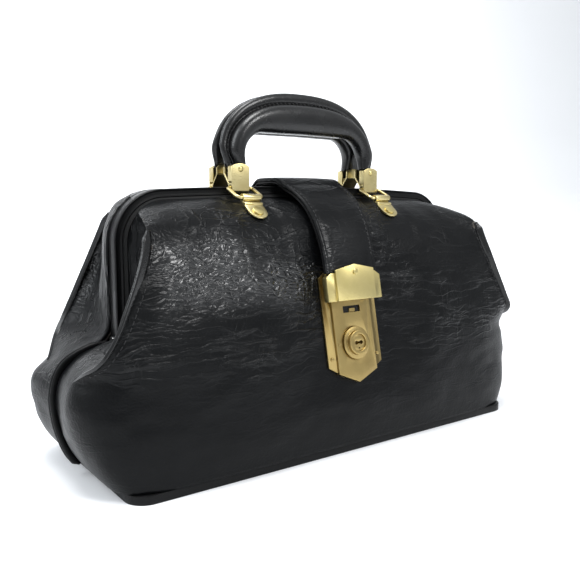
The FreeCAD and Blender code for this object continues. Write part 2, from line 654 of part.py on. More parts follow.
# ---- lock -----------------------------------------------------------------------------------------
CASE_TOP = HASP_S1 + 0.5       # the case runs up behind the hasp to a matching point
FLANGE_FOOT, MIDDLE_FOOT = 11.85, 7.0   # lower outer corners of the flanges and the raised face
HOUSING = (20.0, 17.0, 73.0, -12.0)     # lock box: half width, foot, top, back
HOUSING_WALL = 1.2
BOLT_BACK, BOLT_FACE = -9.4, -7.2
PLUG_R = 5.5
BEZEL_R, CYLINDER_FLANGE_R = 8.2, 10.8
SPRING_R, SPRING_LENGTH = 1.6, 8.4


def lock():
    """Pressed case with stepped flanges; box, bolt and cylinder behind and through it."""
    wide, mid, top = FLANGE_HALF, PLATEAU_HALF, CASE_TOP
    flange = [(-wide, FLANGE_FOOT), (-mid, MIDDLE_FOOT + 1.0), (0, 1.2), (mid, MIDDLE_FOOT + 1.0),
              (wide, FLANGE_FOOT), (wide, top - 8), (mid, top - 3.5), (0, top),
              (-mid, top - 3.5), (-wide, top - 8)]
    middle = [(-mid, MIDDLE_FOOT), (0, 0), (mid, MIDDLE_FOOT), (mid, top - 3.6),
              (0, top - 0.2), (-mid, top - 3.6)]
    case = lock_plate(flange, -FLANGE_STEP - SHEET, -FLANGE_STEP).fuse(
        lock_plate(middle, -FLANGE_STEP - SHEET, 0))
    case = case.cut(lock_box(-15.0, 15.0, 8.5, top - 5.5, -FLANGE_STEP - SHEET - 1, -SHEET))
    through = (-8, 1)
    slot_half = 7.3
    travel_slot = lock_box(0, SLIDE_TRAVEL, CYLINDER_S - slot_half, CYLINDER_S + slot_half, *through)
    travel_slot = travel_slot.fuse([lock_round(x, CYLINDER_S, slot_half, *through)
                                    for x in (0, SLIDE_TRAVEL)])
    window = lock_box(-slot_half, slot_half, WINDOW_S - 2.2, WINDOW_S + 2.2, *through)
    mouth = lock_box(-7.5, 7.5, STAPLE_S - 0.5, STAPLE_S + 7.0, *through)
    dash = lock_box(-14.6, -11.6, CYLINDER_S - 0.5, CYLINDER_S + 0.5, -0.1, 0.6)
    save("lock_case", case.cut(travel_slot).cut(window).cut(mouth).fuse(dash))

    half, foot, head, back = HOUSING
    wall = HOUSING_WALL
    housing = lock_box(-half, half, foot, head, back, -SEAT_DEPTH)
    save("lock_housing", housing.cut(
        lock_box(-half + wall, half - wall, foot + wall, head - wall, back + wall, 0)))
    save("window_plate", lock_box(-9, 9, WINDOW_S - 3.2, WINDOW_S + 3.2, -2.6, -1.5).fuse(
        lock_box(-1.6, 3.4, WINDOW_S - 1.6, WINDOW_S + 0.4, -1.6, -0.5)))
    rivets = [lock_round(sign * 19.6, s, 1.2, -FLANGE_STEP, -FLANGE_STEP + 0.6)
              for sign in (-1, 1) for s in (17, 66)]
    save("lock_rivets", Part.makeCompound(rivets))

    bolt = lock_box(-10, 8, CYLINDER_S - 5, STAPLE_S - 4.5, BOLT_BACK, BOLT_FACE)
    nose = lock_box(-13.5, -8, STAPLE_S - 10, STAPLE_S + 5, BOLT_BACK, BOLT_FACE + 2.4)
    save("lock_bolt", bolt.fuse(nose).cut(lock_round(0, CYLINDER_S, PLUG_R, -12, 0)))
    barrel = lock_round(0, CYLINDER_S, 6.9, BOLT_FACE, 0.35).fuse(
        [lock_round(0, CYLINDER_S, CYLINDER_FLANGE_R, 0.35, 1.6),
         lock_round(0, CYLINDER_S, BEZEL_R, 1.6, 4.4)])
    save("cylinder_housing", barrel.cut(
        lock_round(0, CYLINDER_S, PLUG_R + PIN_FIT, -12, 6)).removeSplitter())
    keyhole = lock_box(-2.6, 2.6, CYLINDER_S - 0.7, CYLINDER_S + 0.7, -2, 5)
    for x in (-2.0, 2.0):
        keyhole = keyhole.fuse(lock_round(x, CYLINDER_S, 1.3, -2, 5))
    keyhole = keyhole.fuse(lock_round(0, CYLINDER_S - 3.5, 0.6, 2, 5))
    save("key_plug", lock_round(0, CYLINDER_S, PLUG_R, BOLT_BACK, 3.6).cut(keyhole))
    start, along = lock_point(8.2, CYLINDER_S + 14, -8.3), V(1, 0, 0)
    save("bolt_spring", Part.makeCylinder(SPRING_R, SPRING_LENGTH, start, along).cut(
        Part.makeCylinder(SPRING_R - 0.6, SPRING_LENGTH, start, along)))


leather_body()
end_welts()
fittings("front", lambda shape: shape)
fittings("rear", flip_y)
pin = hinge_pin()
save("left_hinge_pin", pin)
save("right_hinge_pin", flip_x(pin))
strap()
lock()
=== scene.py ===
import math

import bmesh
import bpy
import numpy as np
from mathutils import Matrix, Vector, noise
from mathutils.bvhtree import BVHTree

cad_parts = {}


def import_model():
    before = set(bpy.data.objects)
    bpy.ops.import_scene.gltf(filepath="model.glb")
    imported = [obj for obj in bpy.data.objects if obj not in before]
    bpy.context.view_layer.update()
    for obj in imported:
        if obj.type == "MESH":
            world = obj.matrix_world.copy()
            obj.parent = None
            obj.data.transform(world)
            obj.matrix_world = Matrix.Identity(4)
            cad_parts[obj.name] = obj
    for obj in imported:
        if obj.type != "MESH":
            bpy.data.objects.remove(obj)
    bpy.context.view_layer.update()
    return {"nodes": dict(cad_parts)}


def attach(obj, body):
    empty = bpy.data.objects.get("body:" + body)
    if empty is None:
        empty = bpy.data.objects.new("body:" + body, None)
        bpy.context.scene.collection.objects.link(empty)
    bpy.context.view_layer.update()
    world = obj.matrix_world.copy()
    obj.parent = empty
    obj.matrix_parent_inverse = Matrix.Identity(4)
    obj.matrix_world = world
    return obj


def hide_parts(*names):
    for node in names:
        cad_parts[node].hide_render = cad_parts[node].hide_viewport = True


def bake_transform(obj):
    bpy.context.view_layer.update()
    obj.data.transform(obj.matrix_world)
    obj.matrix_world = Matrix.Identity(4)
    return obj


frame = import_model()

# Lengths below are millimetres in the part's own frame; meshes are written in metres.
MM = 0.001
# Both halves are drawn ahead of the middle, at negative Y; the rear's pieces are then mirrored.
SIDES = ("front", "rear")
FLIP = {"front": np.array((1, 1, 1)), "rear": np.array((1, -1, 1))}


# ---- small tools ----
def ease(value):
    """Smooth step from 0 to 1."""
    value = np.clip(value, 0, 1)
    return value * value * (3 - 2 * value)


def smooth(table, at):
    """Smooth curve, without overshoot, through rows of (key, value, ...)."""
    rows = np.array(sorted(table), float)
    keys, values = rows[:, 0], rows[:, 1:]
    gap = np.diff(keys)[:, None]
    slope = np.diff(values, axis=0) / gap
    tangent = np.zeros_like(values)
    tangent[0], tangent[-1] = slope[0], slope[-1]
    left, right = slope[:-1], slope[1:]
    same = left * right > 0
    w0, w1 = 2 * gap[1:] + gap[:-1], gap[1:] + 2 * gap[:-1]
    safe_left, safe_right = np.where(same, left, 1), np.where(same, right, 1)
    tangent[1:-1] = np.where(same, (w0 + w1) / (w0 / safe_left + w1 / safe_right), 0)
    at = np.clip(np.asarray(at, float), keys[0], keys[-1])
    i = np.clip(np.searchsorted(keys, at) - 1, 0, len(keys) - 2)
    h = (keys[i + 1] - keys[i])[..., None]
    s = ((at - keys[i]) / (keys[i + 1] - keys[i]))[..., None]
    out = (values[i] * (1 + 2 * s) * (1 - s) ** 2 + tangent[i] * h * s * (1 - s) ** 2
           + values[i + 1] * s * s * (3 - 2 * s) + tangent[i + 1] * h * s * s * (s - 1))
    return out[..., 0] if out.shape[-1] == 1 else out


def run_along(points):
    """Distance along a line to each of its points."""
    return np.r_[0, np.cumsum(np.linalg.norm(np.diff(points, axis=0), axis=1))]


def resample(points, count):
    """Evenly spaced points along a line."""
    run = run_along(points)
    at = np.linspace(0, run[-1], count)
    return np.stack([np.interp(at, run, points[:, k]) for k in range(points.shape[1])], 1)


def flow(points, count):
    """A smooth line through points, evenly spaced."""
    run = run_along(points)
    table = [(r, *p) for r, p in zip(run, points)]
    return resample(smooth(table, np.linspace(0, run[-1], count * 6)), count)


def unit(v):
    """Vectors brought to length 1."""
    return v / np.maximum(np.linalg.norm(v, axis=-1, keepdims=True), 1e-12)


def make(name, points, faces, material, sharp=None):
    """A smooth-shaded mesh, with edges steeper than sharp degrees kept crisp."""
    mesh = bpy.data.meshes.new(name)
    mesh.from_pydata((np.asarray(points, float) * MM).tolist(), [], [tuple(f) for f in faces])
    mesh.polygons.foreach_set("use_smooth", [True] * len(mesh.polygons))
    if sharp:
        mesh.set_sharp_from_angle(angle=math.radians(sharp))
    obj = bpy.data.objects.new(name, mesh)
    bpy.context.scene.collection.objects.link(obj)
    mesh.materials.append(material)
    return obj


def grid_faces(rows, cols, start=0, loop=False):
    """Four-sided faces over a grid of points, closed into a tube if loop is set."""
    wide = cols if loop else cols - 1
    return [(start + i * cols + j, start + i * cols + (j + 1) % cols,
             start + (i + 1) * cols + (j + 1) % cols, start + (i + 1) * cols + j)
            for i in range(rows - 1) for j in range(wide)]


def tube_faces(rows, cols, start=0):
    """Faces through closed loops of points, with a flat cap at each end."""
    last = start + (rows - 1) * cols
    caps = [tuple(range(start, start + cols))[::-1], tuple(range(last, last + cols))]
    return grid_faces(rows, cols, start, loop=True) + caps


def loft(name, loops, material, sharp=None):
    """A closed body through closed loops of points."""
    loops = np.asarray(loops, float)
    obj = make(name, loops.reshape(-1, 3), tube_faces(*loops.shape[:2]), material, sharp)
    solid = bmesh.new()
    solid.from_mesh(obj.data)
    bmesh.ops.recalc_face_normals(solid, faces=solid.faces)
    solid.to_mesh(obj.data)
    solid.free()
    return obj


def frames(path, hint):
    """Tangent, side and up along a path; up is the part of hint square to the path."""
    path = np.asarray(path, float)
    tangent = unit(np.gradient(path, axis=0))
    hint = np.broadcast_to(np.asarray(hint, float), path.shape)
    up = unit(hint - tangent * np.sum(hint * tangent, 1)[:, None])
    return tangent, np.cross(tangent, up), up


# a thread's rings: share of its length from the middle, thickness, and height above the seam
THREAD_RINGS = ((-0.5, 0.25, -0.5), (-0.36, 0.95, 0.1), (0.36, 0.95, 0.1), (0.5, 0.25, -0.5))
THREAD_SIDES = 6


def stitches(name, path, out, pitch, length, radius):
    """A row of short threads that lie along a path, half sunk in what they sew."""
    path = np.asarray(path, float)
    count = max(int(run_along(path)[-1] / pitch), 2)
    dense = resample(np.hstack([path, np.broadcast_to(out, path.shape)]), count * 4 + 1)
    tangent, side, up = frames(dense[:, :3], dense[:, 3:])
    points, faces = [], []
    around = np.linspace(0, 2 * math.pi, THREAD_SIDES, endpoint=False)
    for k in range(count):
        i = 4 * k + 2
        start = len(points)
        for share, thick, lift in THREAD_RINGS:
            centre = dense[i, :3] + tangent[i] * share * length + up[i] * lift * radius
            points += [centre + (side[i] * math.cos(a) + up[i] * math.sin(a)) * radius * thick
                       for a in around]
        faces += tube_faces(len(THREAD_RINGS), THREAD_SIDES, start)
    return make(name, points, faces, THREAD)


def edges_of(face):
    """The edges of a face, in order, as pairs of points."""
    return [(face[k], face[(k + 1) % len(face)]) for k in range(len(face))]


def open_edges(faces):
    """The edges that only one face has."""
    used = {}
    for face in faces:
        for edge in edges_of(face):
            used.setdefault(frozenset(edge), []).append(edge)
    return [edge for edge, *more in used.values() if not more]


def relax(points, faces, share, rounds):
    """Draws each point towards the middle of its neighbours."""
    edges = np.array(sorted({tuple(sorted(edge)) for face in faces for edge in edges_of(face)}))
    count = np.bincount(edges.ravel(), minlength=len(points))[:, None]
    for _ in range(rounds):
        total = np.zeros_like(points)
        np.add.at(total, edges[:, 0], points[edges[:, 1]])
        np.add.at(total, edges[:, 1], points[edges[:, 0]])
        points = points + (total / count - points) * share[:, None]
    return points


def normals_of(points, faces):
    """The way out of a surface at each point."""
    quads = np.array([f if len(f) == 4 else (*f, f[-1]) for f in faces])
    across = np.cross(points[quads[:, 2]] - points[quads[:, 0]],
                      points[quads[:, 3]] - points[quads[:, 1]])
    total = np.zeros_like(points)
    for k in range(4):
        np.add.at(total, quads[:, k], across)
    return unit(total)


def thicken(points, faces, normals, outer, inner):
    """A sheet between two offsets from a surface, one per point, closed all round its edges."""
    count = len(points)
    both = np.vstack([points + normals * outer[:, None], points + normals * inner[:, None]])
    turned = [tuple(v + count for v in f[::-1]) for f in faces]
    rim = [(b, a, a + count, b + count) for a, b in open_edges(faces)]
    return both, list(faces) + turned + rim


def blend(obj):
    """Bakes a mesh's placement into its points."""
    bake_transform(obj)


# ---- materials ----
class Nodes:
    """Shader nodes of a new material or world; positions are in metres, in the part's own frame."""

    def __init__(self, name, kind=bpy.data.materials):
        self.owner = kind.new(name)
        self.owner.use_nodes = True
        self.tree = self.owner.node_tree
        self.shader = self.tree.nodes.get("Principled BSDF")
        self.place = self.add("ShaderNodeTexCoord").outputs["Object"]

    def add(self, kind, **values):
        """A new node with its settings and inputs, by name."""
        node = self.tree.nodes.new(kind)
        for key, value in values.items():
            if hasattr(node, key):
                setattr(node, key, value)
            else:
                self.put(node.inputs[key.replace("_", " ")], value)
        return node

    def put(self, socket, value):
        if isinstance(value, bpy.types.NodeSocket):
            self.tree.links.new(value, socket)
        else:
            socket.default_value = value

    def stretch(self, scale, turn=(0, 0, 0), move=(0, 0, 0), source=None):
        return self.add("ShaderNodeMapping", Vector=source or self.place, Scale=scale, Location=move,
                        Rotation=[math.radians(a) for a in turn]).outputs["Vector"]

    def noise(self, vector, scale, detail=2.0, rough=0.5, distort=0.0):
        return self.add("ShaderNodeTexNoise", Vector=vector, Scale=scale, Detail=detail,
                        Roughness=rough, Distortion=distort).outputs[0]

    def cells(self, vector, scale, feature="DISTANCE_TO_EDGE"):
        node = self.add("ShaderNodeTexVoronoi", feature=feature, Scale=scale, Vector=vector)
        return node.outputs["Distance"]

    def math(self, what, a, b=0.0):
        node = self.add("ShaderNodeMath", operation=what)
        self.put(node.inputs[0], a)
        self.put(node.inputs[1], b)
        return node.outputs[0]

    def span(self, value, low, high, to_low=0.0, to_high=1.0):
        """A smooth step from to_low, where value is low, to to_high, where it is high."""
        node = self.add("ShaderNodeMapRange", interpolation_type="SMOOTHSTEP", Value=value,
                        From_Min=low, From_Max=high, To_Min=to_low, To_Max=to_high)
        return node.outputs["Result"]

    def product(self, first, *others):
        for other in others:
            first = self.math("MULTIPLY", first, other)
        return first

    def rest(self, share):
        """What a share leaves of one."""
        return self.math("SUBTRACT", 1.0, share)

    def total(self, *parts):
        """Sum of (value, weight) pairs."""
        out = None
        for value, weight in parts:
            term = self.math("MULTIPLY", value, weight)
            out = term if out is None else self.math("ADD", out, term)
        return out

    def lines(self, scale, turn, thin, move, source):
        """Thin raised lines: the places where a stretched noise passes its middle value."""
        vector = self.stretch(scale, turn, move, source)
        value = self.noise(vector, 1.0, detail=2.5, rough=0.55, distort=0.3)
        off = self.math("ABSOLUTE", self.math("SUBTRACT", value, 0.5))
        return self.span(off, 0.0, thin, 1.0, 0.0)

    def sway(self, scale, reach):
        """Positions moved about by a slow noise."""
        drift = self.add("ShaderNodeTexNoise", Vector=self.place, Scale=scale, Detail=2.0)
        small = self.add("ShaderNodeVectorMath", operation="SCALE", Scale=reach)
        self.put(small.inputs[0], drift.outputs["Color"])
        moved = self.add("ShaderNodeVectorMath")
        self.put(moved.inputs[0], self.place)
        self.put(moved.inputs[1], small.outputs[0])
        return moved.outputs[0]

    def bump(self, height, strength, distance, coat=False):
        """Surface relief, in the coat too where there is one."""
        node = self.add("ShaderNodeBump", Strength=strength, Distance=distance, Height=height)
        self.put(self.shader.inputs["Normal"], node.outputs["Normal"])
        if coat:
            self.put(self.shader.inputs["Coat Normal"], node.outputs["Normal"])

    def set(self, **values):
        """Sets the shader's inputs by name."""
        for key, value in values.items():
            self.put(self.shader.inputs[key.replace("_", " ")], value)


def mixed(n, share, a, b):
    """Colour between a and b."""
    node = n.add("ShaderNodeMix", data_type="RGBA")
    n.put(node.inputs[0], share)
    n.put(node.inputs[6], (*a, 1))
    n.put(node.inputs[7], (*b, 1))
    return node.outputs[2]


def shrunken_leather(name, grain=1.0, creases=1.0):
    """Black leather: smooth and dark low down, drawn into long creases higher up, with a coarse
    shiny grain under the left of the shoulder and upright wrinkles on the wings."""
    n = Nodes(name)
    where = n.noise(n.place, 14.0)
    place = n.add("ShaderNodeSeparateXYZ")
    n.put(place.inputs[0], n.place)
    x, y, z = place.outputs
    along = n.total((x, 1.0), (where, 0.07))
    height = n.total((z, 1.0), (where, 0.05))

    # shares, 0 to 1, of where each kind of surface lies
    on_wall = n.span(n.math("ABSOLUTE", y), 0.040, 0.050)
    left = n.product(n.span(along, -0.112, -0.088), n.span(along, 0.06, -0.02))
    band = n.product(n.span(height, 0.112, 0.142), n.span(height, 0.184, 0.166))
    shiny = n.product(left, band, n.span(n.noise(n.place, 32.0), 0.36, 0.56, 0.25, 1.0), on_wall)
    wing = n.product(n.span(n.math("ABSOLUTE", x), 0.122, 0.140), n.span(height, 0.098, 0.118),
                     n.rest(on_wall))
    drawn = n.product(n.span(height, 0.080, 0.108, 0.12, 1.0),
                      n.span(n.noise(n.place, 20.0), 0.38, 0.60, 0.15, 1.0))

    bent = n.sway(55.0, 0.007)
    pebble = n.span(n.cells(n.stretch((0.48, 0.8, 1.15), (0, 20, 0), source=bent), 300.0), 0.0, 0.30)
    pores = n.span(n.cells(n.stretch((0.8, 1, 1.2), source=bent), 420.0), 0.0, 0.32)
    level = n.lines((15, 15, 110), (0, 9, 0), 0.042, (0, 0, 0), bent)
    slant = n.lines((24, 24, 85), (0, 24, 0), 0.040, (3, 1, 5), bent)
    herring = n.lines((90, 90, 34), (0, -32, 0), 0.040, (5, 5, 2), bent)
    upright = n.lines((120, 120, 16), (0, 8, 0), 0.060, (7, 2, 1), bent)
    long_lines = n.product(n.total((level, 0.8), (slant, 0.4), (herring, 0.25)), drawn)
    lined = n.total((long_lines, n.rest(wing)), (upright, n.product(wing, 1.3)))

    relief = n.total((pebble, n.product(shiny, 0.85 * grain)), (pores, 0.07 * grain),
                     (n.noise(n.place, 1500.0), 0.04), (lined, 1.3 * creases),
                     (n.noise(n.place, 120.0), 0.35 * grain))
    n.bump(relief, 0.85, 0.0008, coat=True)
    n.set(Base_Color=mixed(n, where, (0.0022, 0.0024, 0.0027), (0.0038, 0.0042, 0.0047)),
          Roughness=n.span(n.noise(n.place, 45.0, detail=3), 0.3, 0.7, 0.32, 0.44),
          Specular_IOR_Level=0.11, Coat_Roughness=0.24,
          Coat_Weight=n.total((shiny, 0.9), (lined, 0.28 * creases)))
    return n.owner


def smooth_leather(name, rough, tone=1.0, scale=1.0, sheen=0.38):
    """Close-grained, polished black leather."""
    n = Nodes(name)
    pores = n.cells(n.place, 900.0 * scale, "F1")
    height = n.total((n.span(pores, 0.0, 0.6), 0.3), (n.noise(n.place, 300.0, detail=3), 0.5),
                     (n.noise(n.stretch((40, 40, 260)), 1.0, detail=3), 0.4))
    n.bump(height, 0.35, 0.0004)
    n.set(Base_Color=mixed(n, n.noise(n.place, 30.0), (0.004 * tone,) * 3,
                           (0.0070 * tone, 0.0072 * tone, 0.0078 * tone)),
          Roughness=n.span(n.noise(n.place, 60.0, detail=3), 0.3, 0.7, rough[0], rough[1]),
          Specular_IOR_Level=sheen)
    return n.owner


def metal(name, colour, dark, rough, brushed, dents=0.0):
    """Brushed or satin metal with slight tarnish."""
    n = Nodes(name)
    brush = n.noise(n.stretch(brushed), 1.0, detail=4, rough=0.7)
    cloud = n.noise(n.place, 70.0, detail=4, rough=0.6)
    n.set(Base_Color=mixed(n, n.span(cloud, 0.35, 0.75), colour, dark), Metallic=1.0,
          Roughness=n.total((brush, 0.22), (cloud, 0.12), (rough, 1.0)))
    n.bump(n.total((brush, 0.2), (n.noise(n.place, 420.0, detail=2), dents)), 0.25, 0.0003)
    return n.owner


def woven(name, colour, dark):
    """Closely woven lining cloth."""
    n = Nodes(name)
    threads = []
    for direction in ("X", "Z"):
        wave = n.add("ShaderNodeTexWave", Vector=n.place, Scale=70.0, Distortion=0.4, Detail=1.0,
                     bands_direction=direction)
        threads.append((wave.outputs[1], 0.5))
    weave = n.total(*threads)
    n.set(Base_Color=mixed(n, weave, dark, colour), Roughness=0.85, Specular_IOR_Level=0.2)
    n.bump(n.total((weave, 0.6), (n.noise(n.place, 90.0, detail=3), 0.8)), 0.4, 0.0004)
    return n.owner


LEATHER = shrunken_leather("black_shrunken_leather")
STRAP_LEATHER = shrunken_leather("black_strap_leather", grain=0.45, creases=0.3)
TRIM = smooth_leather("black_trim_leather", rough=(0.34, 0.46), sheen=0.14)
GRIP_LEATHER = smooth_leather("black_handle_leather", rough=(0.22, 0.32), sheen=0.42)
EDGE = smooth_leather("black_dyed_edge", rough=(0.16, 0.26), sheen=0.34)
THREAD = smooth_leather("black_waxed_thread", rough=(0.35, 0.5), tone=1.8, scale=2.0)
LINING = woven("dark_lining_cloth", (0.085, 0.075, 0.065), (0.04, 0.035, 0.03))
BRASS = metal("pale_satin_brass", (0.62, 0.53, 0.27), (0.50, 0.41, 0.19), 0.14,
              (300, 300, 2500), dents=0.4)
LOCK_BRASS = metal("brushed_lock_brass", (0.38, 0.285, 0.115), (0.33, 0.24, 0.095), 0.17,
                   (3200, 300, 120))
HASP_BRASS = metal("pale_hasp_brass", (0.62, 0.52, 0.23), (0.55, 0.46, 0.19), 0.17,
                   (3200, 300, 120))
STEEL = metal("frame_steel", (0.50, 0.50, 0.50), (0.36, 0.36, 0.36), 0.22, (200, 200, 900))
# near-black leather used only as painted shade: in the lock's window slot and in the gap under the frame's
# covering
PAINTED_SHADE = smooth_leather("painted_shade_leather", rough=(0.7, 0.8), tone=0.4)


def board_material():
    """Rough dark covering of the base board."""
    n = Nodes("board_cover")
    n.set(Base_Color=mixed(n, n.noise(n.place, 200.0), (0.05, 0.045, 0.04), (0.075, 0.068, 0.06)),
          Roughness=0.8)
    n.bump(n.noise(n.place, 900.0, detail=3), 0.3, 0.0003)
    return n.owner


BOARD = board_material()

# ---- body leather ----
# height and distance ahead of the wall; height and half length of the rounded end
WALL = [(3, 68.5), (25, 71), (50, 69.5), (80, 65.5), (107, 60), (127, 55), (138, 51),
        (149, 45), (158.5, 36.5), (165.5, 25), (168.6, 12.5), (169, 9.6)]
END = [(0, 160.6), (7.4, 165), (16.3, 170.8), (27.8, 175.1), (36.2, 177.1), (48.7, 178.4),
       (58.8, 176.8), (68.4, 171.6), (76.2, 156), (78.3, 144.8)]
# the pinched crease at each side: height, along X and ahead
CREASE = {
    "front": [(150, 138.8, 49), (139.3, 141, 52), (123.3, 147, 55.5), (106.8, 154.6, 57.5),
              (92.6, 161.6, 59), (86, 166, 59), (81.5, 169, 57.5), (77, 172, 53),
              (73, 175.5, 46), (66, 177.5, 32), (58, 178.6, 31)],
    "rear": [(158.6, 127.2, 38), (151.5, 128.8, 43.5), (142.9, 131.0, 48.1), (134.3, 133.6, 51.8),
             (125.6, 136.7, 54.3), (117.1, 140.2, 55.9), (108.5, 143.7, 57.1), (100, 147.4, 57.9),
             (91.6, 151.2, 58.5), (83.4, 155.6, 57.6), (76.2, 161.2, 52.3), (70.2, 168.0, 42.4),
             (66, 172.2, 34), (58, 176.4, 31)],
}
# the shoulder's end from the crease's top to the frame: level, along X, ahead and height
RIM = {
    "front": [(0.45, 138.8, 49, 150), (0.6, 137.4, 39.5, 154.4), (0.8, 133.0, 23.5, 158.0),
              (1, 127.0, 11, 158.8)],
    "rear": [(0.45, 127.2, 38, 158.6), (0.7, 129.6, 26, 162.6), (0.85, 130.6, 17, 165.6),
             (0.93, 130.0, 10.6, 167.4), (1, 127.5, 1, 168.9)],
}
# how deep the wing folds in, for each level of the crease
FOLDS = {
    "front": [(66, -3), (73, -2), (77, 0), (81.5, 4), (86, 9), (92.6, 14), (106.8, 18),
              (123.3, 20), (139.3, 20), (145, 17), (148, 9), (150, 0)],
    "rear": [(66, -3), (73, -2), (77, 0), (81.5, 3), (86, 5), (92.6, 6), (106.8, 7),
             (123.3, 7), (139.3, 6), (145, 4), (148, 2), (150, 0)],
}
# where the wing meets the frame's arm, for each level of the crease: along X, ahead and height;
# the rear leather wraps round the outside of its arm
SEAMS = {
    "front": [(66, 172.8, 0.3, 66), (70, 168.0, 1.2, 71.4), (73, 162.6, 2.4, 75.2),
              (77, 153.0, 2.9, 78.6), (81.5, 146.0, 5.4, 81.5), (86, 137.6, 9.8, 87),
              (92.6, 135.0, 10.8, 95), (106.8, 134.4, 11, 107), (123.3, 134.4, 11, 122),
              (139.3, 134.4, 11, 140), (145, 133.2, 11, 148), (148, 130.6, 11, 153.9),
              (150, 127.0, 11, 158.8)],
    "rear": [(66, 172.8, 0.3, 66), (70, 168.0, 1.0, 71.4), (73, 162.6, 1.4, 75.2),
             (77, 153.6, 1.6, 78.6), (81.5, 147.4, 1.6, 82), (86, 143.6, 1.4, 88),
             (92.6, 143.2, 1, 94), (106.8, 143.2, 1, 107), (123.3, 143.2, 1, 122),
             (137, 143.2, 1, 138), (141, 142.6, 1, 146.4), (145, 139.8, 1, 154.9),
             (148, 135.0, 1, 162.4), (150, 127.5, 1, 168.9)],
}
WRAP = {"front": 0.0, "rear": 9.6}       # how far the wing lies along the arm's outside
CREASE_LEVEL = 0.45      # share of the way up the shoulder where its crease ends
SHOULDER_Z = 127.0       # the wall ends and the shoulder begins
FRAME_TOP = 168.9        # the shoulder's highest line, beside the frame's top bar
FOLD_TOP = 66.0          # the crease runs out here on the rounded end
PINCH_Z, PINCH_RISE = 58.0, 16.0         # the rounded end is pinched flat from here up, over this rise
CUT_Y = 32.0             # where the end's columns meet the front's
CORNER_X, CORNER_R = 109.0, 27.0         # where the frame's rounded corner begins, and its radius
LOCK_Y, LOCK_Z, LEAN = -70.7, 47.4, math.radians(11.6)
LOCK_DEPTH = 3.55        # from the lock's axis back to the leather
FRONT_COLS, SIDE_COLS = 163, 23
LOW_ROWS, HIGH_ROWS, CREASE_ROWS = 32, 31, 13


def wall_out(x, z, side):
    """How far the wall stands out; the front's is drawn in flat behind the lock."""
    full = smooth(WALL, z) + 0 * x
    if side == "rear":
        return full
    seat = -(LOCK_Y + (z - LOCK_Z) * math.tan(LEAN) + LOCK_DEPTH / math.cos(LEAN))
    fade = (1 - ease((np.abs(x) - 26) / 55)) * np.clip((z - 22) / 18, 0, 1) * np.clip((150 - z) / 18, 0, 1)
    return full - np.maximum(full - seat, 0) * fade


def pouch_line(z, side):
    """Left half of the rounded lower body at one height: seam, corner, middle of the front."""
    turn = np.linspace(0, math.pi / 2, 1200)
    across, ahead = -np.cos(turn), np.sin(turn)
    power = smooth([(5, 9), (20, 6.5), (45, 5), (78, 5)], z)
    swell = 6 * float(np.interp(z, (5, 45), (0, 1)))
    reach = (np.abs(across) ** power + ahead ** power) ** (1 / power)
    length = smooth(END, z) + swell * np.minimum(2 * ahead / reach, 1)
    x = length * across / reach
    y = -wall_out(x, z, side) * ahead / reach
    return np.stack([x, np.minimum(y, -0.3), np.full_like(x, z)], 1)


def upper_line(z, side):
    """Left half of the flat wall at one height, from the crease to the middle."""
    part = np.linspace(-1, 0, 800)
    half, edge = smooth(CREASE[side], z)
    x = half * part
    wall = wall_out(x, z, side)
    return np.stack([x, -wall + (wall - edge) * part ** 12, np.full_like(x, z)], 1)


def shoulder_edge(t, side):
    """Left end of the shoulder at a level: up the crease, then over to the frame."""
    crease = CREASE[side]
    if t > CREASE_LEVEL:
        return smooth(RIM[side], t) * (1, -1, 1)
    rise = math.sin(math.pi / 2 * t) / math.sin(math.pi / 2 * CREASE_LEVEL)
    z = SHOULDER_Z + (crease[0][0] - SHOULDER_Z) * rise
    x, y = smooth(crease, z)
    return np.array([x, -y, z])


def shoulder_row(part, t, side):
    """The shoulder at one level, for shares of its half length."""
    end = shoulder_edge(t, side)
    z = SHOULDER_Z + (FRAME_TOP - SHOULDER_Z) * math.sin(math.pi / 2 * t)
    x = part * end[0]
    over = np.clip(np.abs(x) - CORNER_X, 0, CORNER_R)
    lift = 6.4 * ease((np.abs(part) - 0.78) / 0.14) if side == "rear" else 0 * x
    radius = CORNER_R + lift
    drop = radius - np.sqrt(radius ** 2 - over ** 2) - lift + 2 * np.minimum(np.abs(x) / CORNER_X, 1) ** 2
    y = -smooth(WALL, z) + 0 * x
    middle = np.stack([x, np.minimum(y, -10.6), z - drop * t ** 3], 1)
    edge = np.stack([np.copysign(end[0], part), 0 * part + end[1], 0 * part + end[2]], 1)
    fade = ease((np.abs(part) - 0.7) / 0.3) * (1 - t ** 6) + ease((np.abs(part) - 0.94) / 0.06) * t ** 6
    return middle + (edge - middle) * fade[:, None]


def wing_line(a, b, wrap, count):
    """Straight across from the crease to the frame, then along the frame's side for wrap."""
    share = np.linspace(0, 1, count)[:, None]
    if not wrap:
        return a + (b - a) * share
    knee = b + (-0.3, -wrap, 0)
    return np.where(share < 0.8, a + (knee - a) * share / 0.8, knee + (b - knee) * (share - 0.8) / 0.2)


def crumple(points, scale, seed):
    """Smooth noise, -1 to 1, at each point, for sags and pleats."""
    return np.array([noise.noise(Vector((p * scale + seed).tolist())) for p in points])


